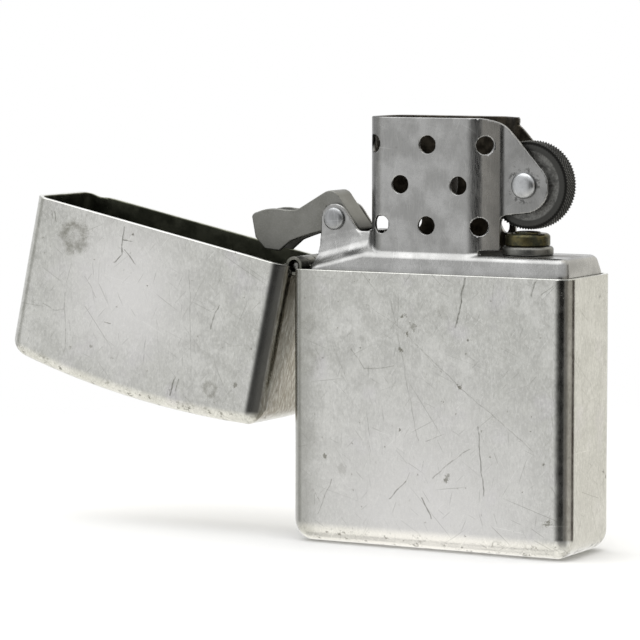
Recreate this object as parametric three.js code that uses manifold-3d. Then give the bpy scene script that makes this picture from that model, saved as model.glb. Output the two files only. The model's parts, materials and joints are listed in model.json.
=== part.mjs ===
// Flip-top windproof lighter: a two-piece metal case with a hinged lid, and the insert that it holds,
// with its windguard, flint wheel, snap cam, flint tube, wick and packing.
// Millimetres, +Z up, -Y front. The origin is the centre of the flat bottom. The lid is open at rest.
import * as THREE from "three";
import { mergeVertices } from "three/addons/utils/BufferGeometryUtils.js";
import Module from "manifold-3d";

const wasm = await Module();
wasm.setup();

// ---------------------------------------------------------------- driving dimensions
const CLEARANCE = 0.06; // round a shaft, and between faces that touch
const BEYOND = 8; // half a cutting tool's length, past the insert's front and back

const CASE = {
  length: 38,
  depth: 13,
  height: 34,
  wall: 0.65,
  cornerRadius: 2.0,
  bottomRadius: 2.7,
};

const LID = {
  height: 22.25, // from its rim to the middle of the crown
  sag: 1.45, // how far the crown drops towards its ends
  rimGap: 0.25, // between the two rims when closed
  edgeRadius: 1.9,
  endRadii: [2.3, 3.2], // at the hinge end, and at the free end
};

const HINGE = {
  x: -19.25,
  z: 34.22,
  openAngle: 168, // degrees from closed to the open stop
  barrelRadius: 1.15,
  boreRadius: 0.56,
  pinRadius: 0.48,
  length: 10,
  knuckles: 5,
  knuckleGap: 0.12,
  leafThickness: 0.4,
  leafHeight: 9,
  leafInset: 0.4, // how far a leaf's sides stand in from the ends of the barrel
  leafStart: 0.7, // from the pin's height to a leaf's nearer edge
  neckReach: 0.95, // how far a knuckle's neck overlaps its leaf, from the shell's rim
  play: 0.15, // round the barrel, in the notches of the two shells
};

const SHEET = 0.45; // the insert's pressed steel

const INSERT = {
  left: -16.9,
  right: 18.15,
  depth: 11.4,
  cornerRadius: 1.2,
  bottom: 2.7,
  shoulder: 34.3, // where the side walls start to lean in
  deck: 36.3,
  leftLean: 0.5, // how much the two ends lean in, as a share of the front's lean
  rightLean: 0.6,
};

const RAMP = {
  low: 34.3, // height at the insert's left end
  high: 38.4, // height at the windguard
  edgeRadius: 1.7,
};

const GUARD = {
  left: -9.6,
  front: 4.6, // half depth of the flat walls
  leftRadius: 2.9,
  flatEnd: 4.3, // where the front wall starts to bend towards the wheel ears
  bend: 42, // degrees of each of the two bends
  bendRadius: 3.0,
  innerBendRadius: 1.0,
  top: 52.9,
  lowerEnd: 7.9, // free edge of the walls under the ears
  slotStart: 5.8,
  slotTop: 36.85,
  holeRadius: 1.1,
  topEnd: 6.4, // where the top edge starts to round over
  cornerX: 7.7, // where the top edge would meet the ear's sloping edge
  slopeTop: [8.6, 51.9], // upper end of the ear's sloping edge
  squareEnd: 8.45, // the back wall's top corner is square, and ends here
  squareHeight: 0.9,
};

// Vent holes on each side: a row's height, and each hole's place along the flattened sheet.
const VENT_ROWS = [
  { z: 49.6, along: [-8.6, -0.9, 6.8] },
  { z: 44.7, along: [-4.6, 3.3] },
  { z: 39.75, along: [-7.3, -1.0, 6.1] },
];

const WHEEL = {
  x: 11.0,
  z: 44.8,
  radius: 5.4,
  treadHalfWidth: 1.25,
  halfWidth: 1.5,
  chamfer: 0.5,
  hubRadius: 2.6,
  earOuter: 2.2, // half the distance over the two ears
  earRadius: 3.2,
  earDrop: 0.2, // from the rivet to the middle of the ear's round end
  boreRadius: 0.88,
  rivetRadius: 0.78,
  headRadius: 1.6,
  headHeight: 0.75,
};

const CAM = {
  x: -14.8,
  z: 40.1,
  halfWidth: 1.9,
  sheet: 0.4,
  earOuter: 2.5,
  earRadius: 1.85,
  earArc: [0.13, 0.93], // ends of the ear's round tip, in half turns
  earRight: [-11.5, 38.6], // lower end of the ear's right edge
  earFoot: [-11.2, 37.4], // right and upper left ends of the ear's foot
  boreRadius: 0.84,
  rivetRadius: 0.74,
  headRadius: 1.4,
  headHeight: 0.6,
};

const FLINT = {
  x: 10.5,
  tubeRadius: 1.6,
  tubeBore: 1.25,
  tubeTop: 39.15,
  tubeBottom: 5.2,
  collarRadius: 2.75,
  collarTop: 38.95,
  flangeRadius: 3.15,
  flangeTop: 37.4,
  radius: 1.15,
  top: 39.2,
  length: 4.2,
  plungerLength: 3.2,
  plungerHead: 1.4, // height of the plunger's wide end
  plungerGap: 0.15, // between its stem and the spring
  plungerEdge: 0.3,
  springRadius: 0.85,
  springWire: 0.2,
  springTurns: 11,
  screwTop: 10.4,
  screwHeadRadius: 2.3,
  screwHeadHeight: 1.1,
  screwBottom: 2.8,
  screwEdge: 0.25,
  screwGap: 0.1, // between the screw and the tube's bore
  screwSlot: [0.6, 0.6], // width and depth
  wheelGap: 0.08, // between the flint's worn end and the wheel
};

const WICK = { x: -0.4, radius: 1.3, top: 46.8, bottom: 9 };

const PACKING = { count: 4, bottom: 5.4, top: 33.2, gap: 0.3, holeGap: 0.3, wallGap: 0.25 };

const FELT = { bottom: 2.9, thickness: 2.2 };

const CAM_SPRING = {
  top: 38.85, // where it passes through the guard
  slotTop: 40.5, // of the guard's slot for it
  halfWidth: 1.4,
  thickness: 0.3,
  rivetX: -4.9,
  rivetRadius: 0.6,
  headRadius: 1.2,
};

const SEGMENTS = 28;

// ---------------------------------------------------------------- materials
function metal(color, roughness, metalness = 1) {
  return new THREE.MeshStandardMaterial({ color, roughness, metalness });
}

const satinCase = metal(0xc6c6be, 0.4);
const insertSteel = metal(0xa8a8a6, 0.32);
const camSteel = metal(0x74746e, 0.5);
const rivetSteel = metal(0xd2d2d2, 0.25);
const springSteel = metal(0x8c8c88, 0.35);
const wheelSteel = metal(0x3a3a3a, 0.6);
const tubeBrass = metal(0x8a7a45, 0.45);
const ferroFlint = metal(0x4c4a48, 0.7, 0.5);
const cotton = metal(0xe6e0d0, 0.95, 0);
const wickCotton = metal(0xd8cfb8, 0.95, 0);
const felt = metal(0xc9c2b4, 0.98, 0);

// ---------------------------------------------------------------- solids and booleans

// A closed geometry as a solid, faces outwards.
function solid(geometry) {
  const bare = geometry.clone();
  bare.deleteAttribute("normal");
  bare.deleteAttribute("uv");
  const merged = mergeVertices(bare, 1e-3);
  const build = (triVerts) =>
    new wasm.Manifold(
      new wasm.Mesh({
        numProp: 3,
        vertProperties: merged.attributes.position.array,
        triVerts,
      }),
    );
  const made = build(new Uint32Array(merged.index.array));
  return made.volume() < 0 ? build(new Uint32Array(merged.index.array).reverse()) : made;
}

function join(first, ...others) {
  return others.reduce((sum, other) => sum.add(other), first);
}

function cut(first, ...others) {
  return others.reduce((rest, other) => rest.subtract(other), first);
}

function geometryOf(body) {
  const mesh = body.getMesh();
  const positions = new Float32Array(mesh.numVert * 3);
  for (let i = 0; i < mesh.numVert; i++) {
    const start = i * mesh.numProp;
    positions.set(mesh.vertProperties.subarray(start, start + 3), i * 3);
  }
  const geometry = new THREE.BufferGeometry();
  geometry.setAttribute("position", new THREE.BufferAttribute(positions, 3));
  geometry.setIndex(new THREE.BufferAttribute(mesh.triVerts, 1));
  return geometry;
}

function piece(name, material, body) {
  const flat = geometryOf(body).toNonIndexed();
  flat.computeVertexNormals();
  const mesh = new THREE.Mesh(flat, material);
  mesh.name = name;
  return mesh;
}

function box(x0, x1, y0, y1, z0, z1) {
  const geometry = new THREE.BoxGeometry(x1 - x0, y1 - y0, z1 - z0);
  geometry.translate((x0 + x1) / 2, (y0 + y1) / 2, (z0 + z1) / 2);
  return solid(geometry);
}

// An outline in the XY plane, drawn out from z0 to z1.
function upright(shape, z0, z1, curveSegments = 8) {
  const geometry = new THREE.ExtrudeGeometry(shape, {
    depth: z1 - z0,
    bevelEnabled: false,
    curveSegments,
  });
  geometry.translate(0, 0, z0);
  return solid(geometry);
}

// An outline in the XZ plane, drawn out from y0 to y1.
function crosswise(shape, y0, y1, curveSegments = 8) {
  const geometry = new THREE.ExtrudeGeometry(shape, {
    depth: y1 - y0,
    bevelEnabled: false,
    curveSegments,
  });
  geometry.rotateX(Math.PI / 2);
  geometry.translate(0, y1, 0);
  return solid(geometry);
}

function rodY(x, z, radius, y0, y1, segments = SEGMENTS) {
  const geometry = new THREE.CylinderGeometry(radius, radius, y1 - y0, segments);
  geometry.translate(x, (y0 + y1) / 2, z);
  return solid(geometry);
}

function rodZ(x, y, radius, z0, z1, segments = SEGMENTS) {
  const geometry = new THREE.CylinderGeometry(radius, radius, z1 - z0, segments);
  geometry.rotateX(Math.PI / 2);
  geometry.translate(x, y, (z0 + z1) / 2);
  return solid(geometry);
}

// A turned part about an upright axis: profile points are [radius, z].
function turnedZ(x, profile, segments = SEGMENTS) {
  const points = profile.map(([r, z]) => new THREE.Vector2(r, z));
  const geometry = new THREE.LatheGeometry(points, segments);
  geometry.rotateX(Math.PI / 2);
  geometry.translate(x, 0, 0);
  return solid(geometry);
}

// A turned part about an axis along Y: profile points are [radius, y].
function turnedY(x, z, profile, segments = SEGMENTS) {
  const points = profile.map(([r, y]) => new THREE.Vector2(r, y));
  const geometry = new THREE.LatheGeometry(points, segments);
  geometry.translate(x, 0, z);
  return solid(geometry);
}

function polygon(points) {
  return new THREE.Shape(points.map(([u, v]) => new THREE.Vector2(u, v)));
}

// Joins rings of equally many points into one closed solid, with a fan over each end.
function loft(rings) {
  const count = rings[0].length;
  const positions = rings.flat(2);
  const index = [];
  for (let r = 0; r + 1 < rings.length; r++) {
    for (let i = 0; i < count; i++) {
      const a = r * count + i;
      const b = r * count + ((i + 1) % count);
      index.push(a, b, a + count, b, b + count, a + count);
    }
  }
  for (const [r, turn] of [[0, true], [rings.length - 1, false]]) {
    const ring = rings[r];
    const middle = [0, 1, 2].map((k) => ring.reduce((sum, p) => sum + p[k], 0) / count);
    const centre = positions.length / 3;
    positions.push(...middle);
    for (let i = 0; i < count; i++) {
      const a = r * count + i;
      const b = r * count + ((i + 1) % count);
      index.push(...(turn ? [centre, b, a] : [centre, a, b]));
    }
  }
  const geometry = new THREE.BufferGeometry();
  geometry.setAttribute("position", new THREE.Float32BufferAttribute(positions, 3));
  geometry.setIndex(index);
  return solid(geometry);
}

// A rounded rectangle as points [x, y], anticlockwise.
function roundedRectangle(x0, x1, halfDepth, radius, steps = 5) {
  const points = [];
  const corners = [[x1, halfDepth], [x0, halfDepth], [x0, -halfDepth], [x1, -halfDepth]];
  corners.forEach(([x, y], quarter) => {
    const cx = x - Math.sign(x - (x0 + x1) / 2) * radius;
    const cy = y - Math.sign(y) * radius;
    for (let i = 0; i <= steps; i++) {
      const angle = ((quarter + i / steps) * Math.PI) / 2;
      points.push([cx + radius * Math.cos(angle), cy + radius * Math.sin(angle)]);
    }
  });
  return points;
}

// A strip of sheet along a path: the path is its left side, and the sheet lies to the right of it.
function strip(path, thickness) {
  const other = path.map((point, i) => {
    const before = path[Math.max(i - 1, 0)];
    const after = path[Math.min(i + 1, path.length - 1)];
    const inward = unit(point[0] - before[0], point[1] - before[1]);
    const outward = unit(after[0] - point[0], after[1] - point[1]);
    const [ax, ay] = i === 0 ? outward : inward;
    const [bx, by] = i === path.length - 1 ? inward : outward;
    const [mx, my] = unit(ay + by, -(ax + bx));
    const reach = thickness / (mx * ay - my * ax);
    return [point[0] + mx * reach, point[1] + my * reach];
  });
  return polygon([...path, ...other.reverse()]);
}

function unit(x, y) {
  const length = Math.hypot(x, y);
  return length ? [x / length, y / length] : [0, 0];
}

// Points on an arc about (cx, cy), between two angles in degrees.
function arc(cx, cy, radius, from, to, steps = 6) {
  return Array.from({ length: steps + 1 }, (_, i) => {
    const angle = THREE.MathUtils.degToRad(from + ((to - from) * i) / steps);
    return [cx + radius * Math.cos(angle), cy + radius * Math.sin(angle)];
  });
}

// ---------------------------------------------------------------- the two case shells

// One half of the case as a solid block of YZ sections along X. Its open end is flat at openZ; its
// closed end follows closedZ(x), with rounded edges; up is 1 where the closed end is on top, else -1.
function caseBlock({ inset, openZ, closedZ, up, edgeRadius, endRadii }) {
  const halfLength = CASE.length / 2 - inset;
  const halfDepth = CASE.depth / 2 - inset;
  const corner = CASE.cornerRadius - inset;
  const edge = edgeRadius - inset;
  const ends = endRadii.map((radius) => radius - inset);
  const endSteps = 6;
  const middleSteps = 10;
  const reach = Math.max(corner, ...ends);
  const stations = [];
  for (let i = 0; i <= endSteps; i++) {
    stations.push(reach * (1 - Math.cos((i / endSteps) * (Math.PI / 2))));
  }
  const xs = stations.map((d) => d - halfLength);
  for (let i = 1; i < middleSteps; i++) {
    xs.push((halfLength - reach) * ((2 * i) / middleSteps - 1));
  }
  xs.push(...stations.map((d) => halfLength - d).reverse());
  const rounding = (radius, d) =>
    d >= radius ? 0 : radius - Math.sqrt(Math.max(0, radius ** 2 - (radius - d) ** 2));
  return loft(
    xs.map((x) => {
      const d = halfLength - Math.abs(x);
      const width = halfDepth - rounding(corner, d);
      const height = closedZ(x) - up * (inset + rounding(x < 0 ? ends[0] : ends[1], d));
      const ring = [[x, width, openZ]];
      for (const [y, z] of arc(width - edge, 0, edge, 0, 90)) {
        ring.push([x, y, height - up * (edge - z)]);
      }
      for (const [y, z] of arc(edge - width, 0, edge, 90, 180)) {
        ring.push([x, y, height - up * (edge - z)]);
      }
      ring.push([x, -width, openZ]);
      return ring;
    }),
  );
}

function hingeNotch(z0, z1) {
  const halfLength = HINGE.length / 2 + HINGE.play;
  const wallSide = 2 * CASE.wall - CASE.length / 2;
  return box(-CASE.length, wallSide, -halfLength, halfLength, z0, z1);
}

function caseShell() {
  const form = {
    closedZ: () => 0,
    up: -1,
    edgeRadius: CASE.bottomRadius,
    endRadii: [CASE.bottomRadius, CASE.bottomRadius],
  };
  const outside = caseBlock({ ...form, inset: 0, openZ: CASE.height });
  const inside = caseBlock({ ...form, inset: CASE.wall, openZ: CASE.height + 2 });
  const notch = hingeNotch(HINGE.z - HINGE.barrelRadius - HINGE.play, CASE.height + 1);
  return piece("case_shell", satinCase, cut(outside, inside, notch));
}

const LID_RIM = CASE.height + LID.rimGap;

function crownHeight(x) {
  return LID_RIM + LID.height - LID.sag * (x / (CASE.length / 2)) ** 2;
}

function lidShell() {
  const form = {
    closedZ: crownHeight,
    up: 1,
    edgeRadius: LID.edgeRadius,
    endRadii: LID.endRadii,
  };
  const outside = caseBlock({ ...form, inset: 0, openZ: LID_RIM });
  const inside = caseBlock({ ...form, inset: CASE.wall, openZ: LID_RIM - 2 });
  const notch = hingeNotch(LID_RIM - 1, HINGE.z + HINGE.barrelRadius + HINGE.play);
  return piece("lid_shell", satinCase, cut(outside, inside, notch));
}

// ---------------------------------------------------------------- the hinge

// A leaf inside one shell's hinge wall, with every other knuckle of the barrel. up is 1 in the lid.
function hingeLeaf(name, up, firstKnuckle) {
  const wallFace = CASE.wall - CASE.length / 2 + CLEARANCE;
  const rim = up > 0 ? LID_RIM : CASE.height;
  const halfLength = HINGE.length / 2 - HINGE.leafInset;
  const ends = [HINGE.z + up * HINGE.leafStart, rim + up * HINGE.leafHeight];
  const heights = ends.sort((a, b) => a - b);
  let leaf = box(
    wallFace,
    wallFace + HINGE.leafThickness,
    -halfLength,
    halfLength,
    ...heights,
  );
  const pitch = HINGE.length / HINGE.knuckles;
  const barrelSide = HINGE.x + HINGE.barrelRadius;
  for (let i = firstKnuckle; i < HINGE.knuckles; i += 2) {
    const y0 = -HINGE.length / 2 + i * pitch + HINGE.knuckleGap / 2;
    const y1 = y0 + pitch - HINGE.knuckleGap;
    const tongue = [HINGE.z, rim + up * HINGE.neckReach].sort((a, b) => a - b);
    const knuckle = rodY(HINGE.x, HINGE.z, HINGE.barrelRadius, y0, y1);
    const neck = box(
      barrelSide - HINGE.leafThickness,
      wallFace + HINGE.leafThickness,
      y0,
      y1,
      ...tongue,
    );
    leaf = join(leaf, knuckle, neck);
  }
  const bore = rodY(HINGE.x, HINGE.z, HINGE.boreRadius, -HINGE.length, HINGE.length);
  return piece(name, insertSteel, cut(leaf, bore));
}

function hingePin() {
  const half = (HINGE.length - HINGE.knuckleGap) / 2;
  return piece("hinge_pin", rivetSteel, rodY(HINGE.x, HINGE.z, HINGE.pinRadius, -half, half));
}

// ---------------------------------------------------------------- the insert

// The windguard's outer face in plan, from the tip of the front ear, round the left end, to the back.
function guardPath() {
  const bend = THREE.MathUtils.degToRad(GUARD.bend);
  const { flatEnd, front, bendRadius, innerBendRadius } = GUARD;
  const arcs = bendRadius + innerBendRadius;
  const drop = front - WHEEL.earOuter - arcs * (1 - Math.cos(bend));
  const flatStart = flatEnd + arcs * Math.sin(bend) + drop / Math.tan(bend);
  const up = 90 + GUARD.bend;
  const inner = arc(flatStart, -WHEEL.earOuter - innerBendRadius, innerBendRadius, 90, up, 4);
  const outer = arc(flatEnd, bendRadius - front, bendRadius, GUARD.bend - 90, -90, 6);
  const middleY = GUARD.leftRadius - front;
  const left = arc(GUARD.left + GUARD.leftRadius, middleY, GUARD.leftRadius, -90, -180, 8);
  const tip = WHEEL.x + WHEEL.earRadius + 1;
  const half = [[tip, -WHEEL.earOuter], ...inner, ...outer, ...left];
  return [...half, ...half.map(([x, y]) => [x, -y]).reverse()];
}

// What is kept of the guard, seen from the front: the walls, and an ear towards the wheel.
function guardOutline() {
  const { x, z, earRadius, earDrop } = WHEEL;
  const shape = new THREE.Shape();
  shape.moveTo(GUARD.left - 1, INSERT.deck - SHEET);
  shape.lineTo(GUARD.lowerEnd, INSERT.deck - SHEET);
  shape.lineTo(GUARD.lowerEnd, z - 4.1);
  shape.lineTo(GUARD.lowerEnd + 0.7, z - 3.75);
  shape.lineTo(x - 0.4, z - 3.52);
  shape.absarc(x, z - earDrop, earRadius, -Math.PI * 0.48, Math.PI * 0.28, false);
  shape.lineTo(...GUARD.slopeTop);
  shape.quadraticCurveTo(GUARD.cornerX, GUARD.top, GUARD.topEnd, GUARD.top);
  shape.lineTo(GUARD.left - 1, GUARD.top);
  return shape;
}

// A place on the flattened sheet as its place and outward direction on the bent front wall.
function onGuard(along) {
  const { flatEnd, front, bendRadius, left, leftRadius } = GUARD;
  const flatStart = left + leftRadius;
  if (along < flatStart) {
    const angle = (flatStart - along) / leftRadius;
    const direction = [-Math.sin(angle), -Math.cos(angle)];
    const centre = [flatStart, leftRadius - front];
    return { place: centre.map((c, i) => c + leftRadius * direction[i]), direction };
  }
  const angle = Math.max(0, along - flatEnd) / bendRadius;
  const direction = [Math.sin(angle), -Math.cos(angle)];
  const centre = [Math.min(along, flatEnd), bendRadius - front];
  return { place: centre.map((c, i) => c + bendRadius * direction[i]), direction };
}

function ventHoles() {
  const holes = [];
  for (const { z, along } of VENT_ROWS) {
    for (const { place, direction } of along.map(onGuard)) {
      for (const side of [1, -1]) {
        const geometry = new THREE.CylinderGeometry(GUARD.holeRadius, GUARD.holeRadius, 2.4, 20);
        geometry.rotateZ(Math.atan2(-direction[0], direction[1] * side));
        geometry.translate(place[0], place[1] * side, z);
        holes.push(solid(geometry));
      }
    }
  }
  return holes;
}

function windguard() {
  const walls = upright(strip(guardPath(), SHEET), INSERT.deck - SHEET, GUARD.top);
  const kept = walls.intersect(crosswise(guardOutline(), -BEYOND, BEYOND, 10));
  const { squareEnd, squareHeight, slotStart, slotTop, lowerEnd, top } = GUARD;
  const corner = walls.intersect(box(GUARD.topEnd, squareEnd, 0, BEYOND, top - squareHeight, top));
  const slot = box(slotStart, lowerEnd + 1, -BEYOND, BEYOND, INSERT.deck, slotTop);
  return cut(join(kept, corner), slot, ...ventHoles());
}

// The can: a rounded box whose walls lean in over the shoulder to the flat deck.
function canBlock(inset) {
  const half = INSERT.depth / 2 - inset;
  const radius = INSERT.cornerRadius - inset;
  const lean = INSERT.deck - INSERT.shoulder;
  const levels = [
    [0, INSERT.shoulder],
    [0.35, INSERT.shoulder + 0.5 * lean],
    [0.62, INSERT.shoulder + 0.78 * lean],
    [0.95, INSERT.shoulder + 0.94 * lean],
    [1.5, INSERT.deck],
  ];
  const start = inset > 0 ? INSERT.bottom - 1 : INSERT.bottom;
  const rings = [[0, start], ...levels].map(([lean, z]) =>
    roundedRectangle(
      INSERT.left + inset + lean * INSERT.leftLean,
      INSERT.right - inset - lean * INSERT.rightLean,
      half - lean,
      radius,
    ).map(([x, y]) => [x, y, z === start ? z : z - inset]),
  );
  return loft(rings);
}

function rampHeight(x) {
  const share = (x - INSERT.left) / (GUARD.left - INSERT.left);
  return RAMP.low + share * (RAMP.high - RAMP.low);
}

// The sloping part of the deck, between the insert's left end and the windguard.
function rampBlock(inset, bottom) {
  const half = GUARD.front - inset;
  const edge = RAMP.edgeRadius - inset;
  const steps = 4;
  const from = INSERT.left + Math.max(inset, CLEARANCE);
  const to = GUARD.left + (inset > 0 ? 0 : SHEET / 2);
  const rings = [];
  for (let i = 0; i <= steps; i++) {
    const x = from + ((to - from) * i) / steps;
    const top = rampHeight(x) - inset * 1.12;
    const ring = [[x, half, bottom]];
    for (const [y, z] of arc(half - edge, top - edge, edge, 0, 90)) {
      ring.push([x, y, z]);
    }
    for (const [y, z] of arc(edge - half, top - edge, edge, 90, 180)) {
      ring.push([x, y, z]);
    }
    ring.push([x, -half, bottom]);
    rings.push(ring);
  }
  return loft(rings);
}

function camEars() {
  const { x, z, earRadius, earOuter, earArc, earRight, earFoot } = CAM;
  const shape = new THREE.Shape();
  shape.moveTo(INSERT.left + 0.1, rampHeight(INSERT.left) - 0.3);
  shape.lineTo(earFoot[0], rampHeight(earFoot[0]) - 0.3);
  shape.lineTo(...earRight);
  shape.absarc(x, z, earRadius, Math.PI * earArc[0], Math.PI * earArc[1], false);
  shape.lineTo(INSERT.left + 0.1, earFoot[1]);
  const plate = (side) =>
    crosswise(
      shape,
      ...[side * earOuter, side * (earOuter - SHEET)].sort((a, b) => a - b),
      6,
    );
  return [plate(-1), plate(1)];
}

function insertShell() {
  const aboveRamp = crosswise(
    polygon([
      [INSERT.left - 2, RAMP.low - 0.4],
      [INSERT.left, RAMP.low - 0.4],
      [GUARD.left, RAMP.high - 0.4],
      [GUARD.left, GUARD.top],
      [INSERT.left - 2, GUARD.top],
    ]),
    -BEYOND,
    BEYOND,
  );
  const outside = join(cut(canBlock(0), aboveRamp), rampBlock(0, INSERT.deck - 3));
  const inside = join(canBlock(SHEET), rampBlock(SHEET, INSERT.deck - 4));
  let shell = join(cut(outside, inside), windguard(), ...camEars());
  const between = CAM.earOuter - SHEET - 0.15;
  shell = cut(
    shell,
    box(GUARD.left - 1, GUARD.left + 1, -between, between, RAMP.high, CAM_SPRING.slotTop),
    rodY(WHEEL.x, WHEEL.z, WHEEL.boreRadius, -BEYOND, BEYOND),
    rodY(CAM.x, CAM.z, CAM.boreRadius, -BEYOND, BEYOND),
    rodZ(FLINT.x, 0, FLINT.tubeRadius + CLEARANCE, INSERT.deck - 2, INSERT.deck + 1),
    rodZ(WICK.x, 0, WICK.radius + 0.2, INSERT.deck - 2, INSERT.deck + 1),
    rodZ(CAM_SPRING.rivetX, 0, CAM_SPRING.rivetRadius + 0.1, INSERT.deck - 2, INSERT.deck + 1, 16),
  );
  return piece("insert_shell", insertSteel, shell);
}

// ---------------------------------------------------------------- wheel, cam and rivets

// A rivet along Y through two ears, with a domed head on each side.
function rivet(name, { x, z, rivetRadius, headRadius, headHeight, earOuter }) {
  const face = earOuter + 0.03;
  const steps = 5;
  const dome = Array.from({ length: steps }, (_, i) => {
    const angle = ((i + 1) / steps) * (Math.PI / 2);
    return [headRadius * Math.cos(angle), face + 0.15 + (headHeight - 0.15) * Math.sin(angle)];
  });
  dome[steps - 1][0] = 0;
  const back = [[rivetRadius, face], [headRadius, face], [headRadius, face + 0.15], ...dome];
  const front = back.map(([r, y]) => [r, -y]).reverse();
  return piece(name, rivetSteel, turnedY(x, z, [...front, ...back], 24));
}

function flintWheel() {
  const { x, z, radius, treadHalfWidth, halfWidth, chamfer, hubRadius, boreRadius } = WHEEL;
  const recess = 0.2;
  const side = [
    [boreRadius, halfWidth],
    [hubRadius, halfWidth],
    [hubRadius + 0.3, halfWidth - recess],
    [radius - chamfer - 0.6, halfWidth - recess],
    [radius - chamfer, halfWidth - recess],
    [radius, treadHalfWidth],
  ];
  const profile = [...side, ...side.map(([r, y]) => [r, -y]).reverse()];
  profile.push(profile[0]);
  return piece("flint_wheel", wheelSteel, turnedY(x, z, profile.reverse(), 56));
}

// The hollow between the cam's side plates, seen from the front: under the web, and beyond its end.
const UNDER_WEB = [
  [-20.2, 34],
  [-20.2, 40.75],
  [-16.6, 42.8],
  [-15.2, 43.1],
  [-14.75, 42.35],
  [-12.25, 39.0],
  [-12.25, 34],
];
const BEYOND_WEB = [[-30, 30], [-20, 30], [-20, 45], [-30, 45]];

// The snap cam: two side plates with a web over the crest and down the heel.
function camLever() {
  const outline = new THREE.Shape();
  outline.moveTo(-27.0, 40.0);
  outline.quadraticCurveTo(-26.8, 40.5, -26.2, 40.6);
  outline.quadraticCurveTo(-24.6, 41.25, -22.9, 41.05);
  outline.lineTo(-20.3, 41.15);
  outline.lineTo(-16.8, 43.2);
  outline.quadraticCurveTo(-15.3, 44.1, -14.5, 42.7);
  outline.lineTo(-11.75, 39.1);
  outline.quadraticCurveTo(-11.6, 38.5, -12.3, 38.5);
  outline.lineTo(-16.4, 38.6);
  outline.quadraticCurveTo(-19.4, 37.9, -21.5, 37.0);
  outline.lineTo(-23.0, 35.75);
  outline.lineTo(-25.1, 35.95);
  outline.lineTo(-26.5, 37.4);
  const hollow = polygon(UNDER_WEB);
  const open = polygon(BEYOND_WEB);
  const inner = CAM.halfWidth - CAM.sheet;
  const body = cut(
    crosswise(outline, -CAM.halfWidth, CAM.halfWidth, 6),
    crosswise(hollow, -inner, inner),
    crosswise(open, -inner, inner),
    rodY(CAM.x, CAM.z, CAM.boreRadius, -5, 5),
  );
  return piece("cam_lever", camSteel, body);
}

// The leaf spring: riveted to the deck inside the guard, it comes out under the cam's heel.
function camSpring() {
  const floor = INSERT.deck + CLEARANCE;
  const path = [
    [-3.6, floor + CAM_SPRING.thickness],
    [-6.6, floor + CAM_SPRING.thickness],
    [-8.6, CAM_SPRING.top],
    [-10.3, CAM_SPRING.top],
    [-12.0, CAM_SPRING.top - 1],
  ];
  const leaf = crosswise(
    strip(path.reverse(), CAM_SPRING.thickness),
    -CAM_SPRING.halfWidth,
    CAM_SPRING.halfWidth,
  );
  const hole = rodZ(CAM_SPRING.rivetX, 0, CAM_SPRING.rivetRadius + 0.1, 30, 40, 16);
  return piece("cam_spring", springSteel, cut(leaf, hole));
}

function camSpringRivet() {
  const { rivetX, rivetRadius, headRadius, thickness } = CAM_SPRING;
  const seat = INSERT.deck + thickness + 2 * CLEARANCE;
  const tail = INSERT.deck - SHEET - CLEARANCE;
  const profile = [
    [0, tail - 0.5],
    [headRadius * 0.8, tail - 0.4],
    [headRadius * 0.8, tail],
    [rivetRadius, tail],
    [rivetRadius, seat],
    [headRadius, seat],
    [headRadius * 0.8, seat + 0.4],
    [0, seat + 0.6],
  ];
  return piece("cam_spring_rivet", rivetSteel, turnedZ(rivetX, profile, 16));
}

// ---------------------------------------------------------------- the flint and what feeds it

function ringZ(name, material, innerRadius, outerRadius, z0, z1, chamfer) {
  const profile = [
    [innerRadius, z0],
    [outerRadius, z0],
    [outerRadius, z1 - chamfer],
    [outerRadius - chamfer, z1],
    [innerRadius, z1],
    [innerRadius, z0],
  ];
  return piece(name, material, turnedZ(FLINT.x, profile));
}

function flintTube() {
  const { tubeBore, tubeRadius, tubeBottom, tubeTop } = FLINT;
  return ringZ("flint_tube", tubeBrass, tubeBore, tubeRadius, tubeBottom, tubeTop, 0.1);
}

function tubeFlange() {
  const bottom = INSERT.deck + CLEARANCE;
  const hole = FLINT.tubeRadius + CLEARANCE;
  return ringZ("tube_flange", insertSteel, hole, FLINT.flangeRadius, bottom, FLINT.flangeTop, 0.25);
}

function tubeCollar() {
  const bottom = FLINT.flangeTop + CLEARANCE;
  const hole = FLINT.tubeRadius + CLEARANCE;
  return ringZ("tube_collar", tubeBrass, hole, FLINT.collarRadius, bottom, FLINT.collarTop, 0.3);
}

const FLINT_BOTTOM = FLINT.top - FLINT.length;
const PLUNGER_BOTTOM = FLINT_BOTTOM - CLEARANCE - FLINT.plungerLength;

function flintStone() {
  const body = rodZ(FLINT.x, 0, FLINT.radius, FLINT_BOTTOM, FLINT.top, 20);
  const worn = rodY(WHEEL.x, WHEEL.z, WHEEL.radius + FLINT.wheelGap, -BEYOND, BEYOND, 56);
  return piece("flint", ferroFlint, cut(body, worn));
}

function plunger() {
  const { radius, springRadius, springWire, plungerHead, plungerGap, plungerEdge } = FLINT;
  const top = FLINT_BOTTOM - CLEARANCE;
  const stem = springRadius - springWire - plungerGap;
  const profile = [
    [0, PLUNGER_BOTTOM],
    [stem, PLUNGER_BOTTOM],
    [stem, top - plungerHead],
    [radius, top - plungerHead],
    [radius, top - plungerEdge],
    [radius - plungerEdge, top],
    [0, top],
  ];
  return piece("plunger", tubeBrass, turnedZ(FLINT.x, profile, 20));
}

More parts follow.
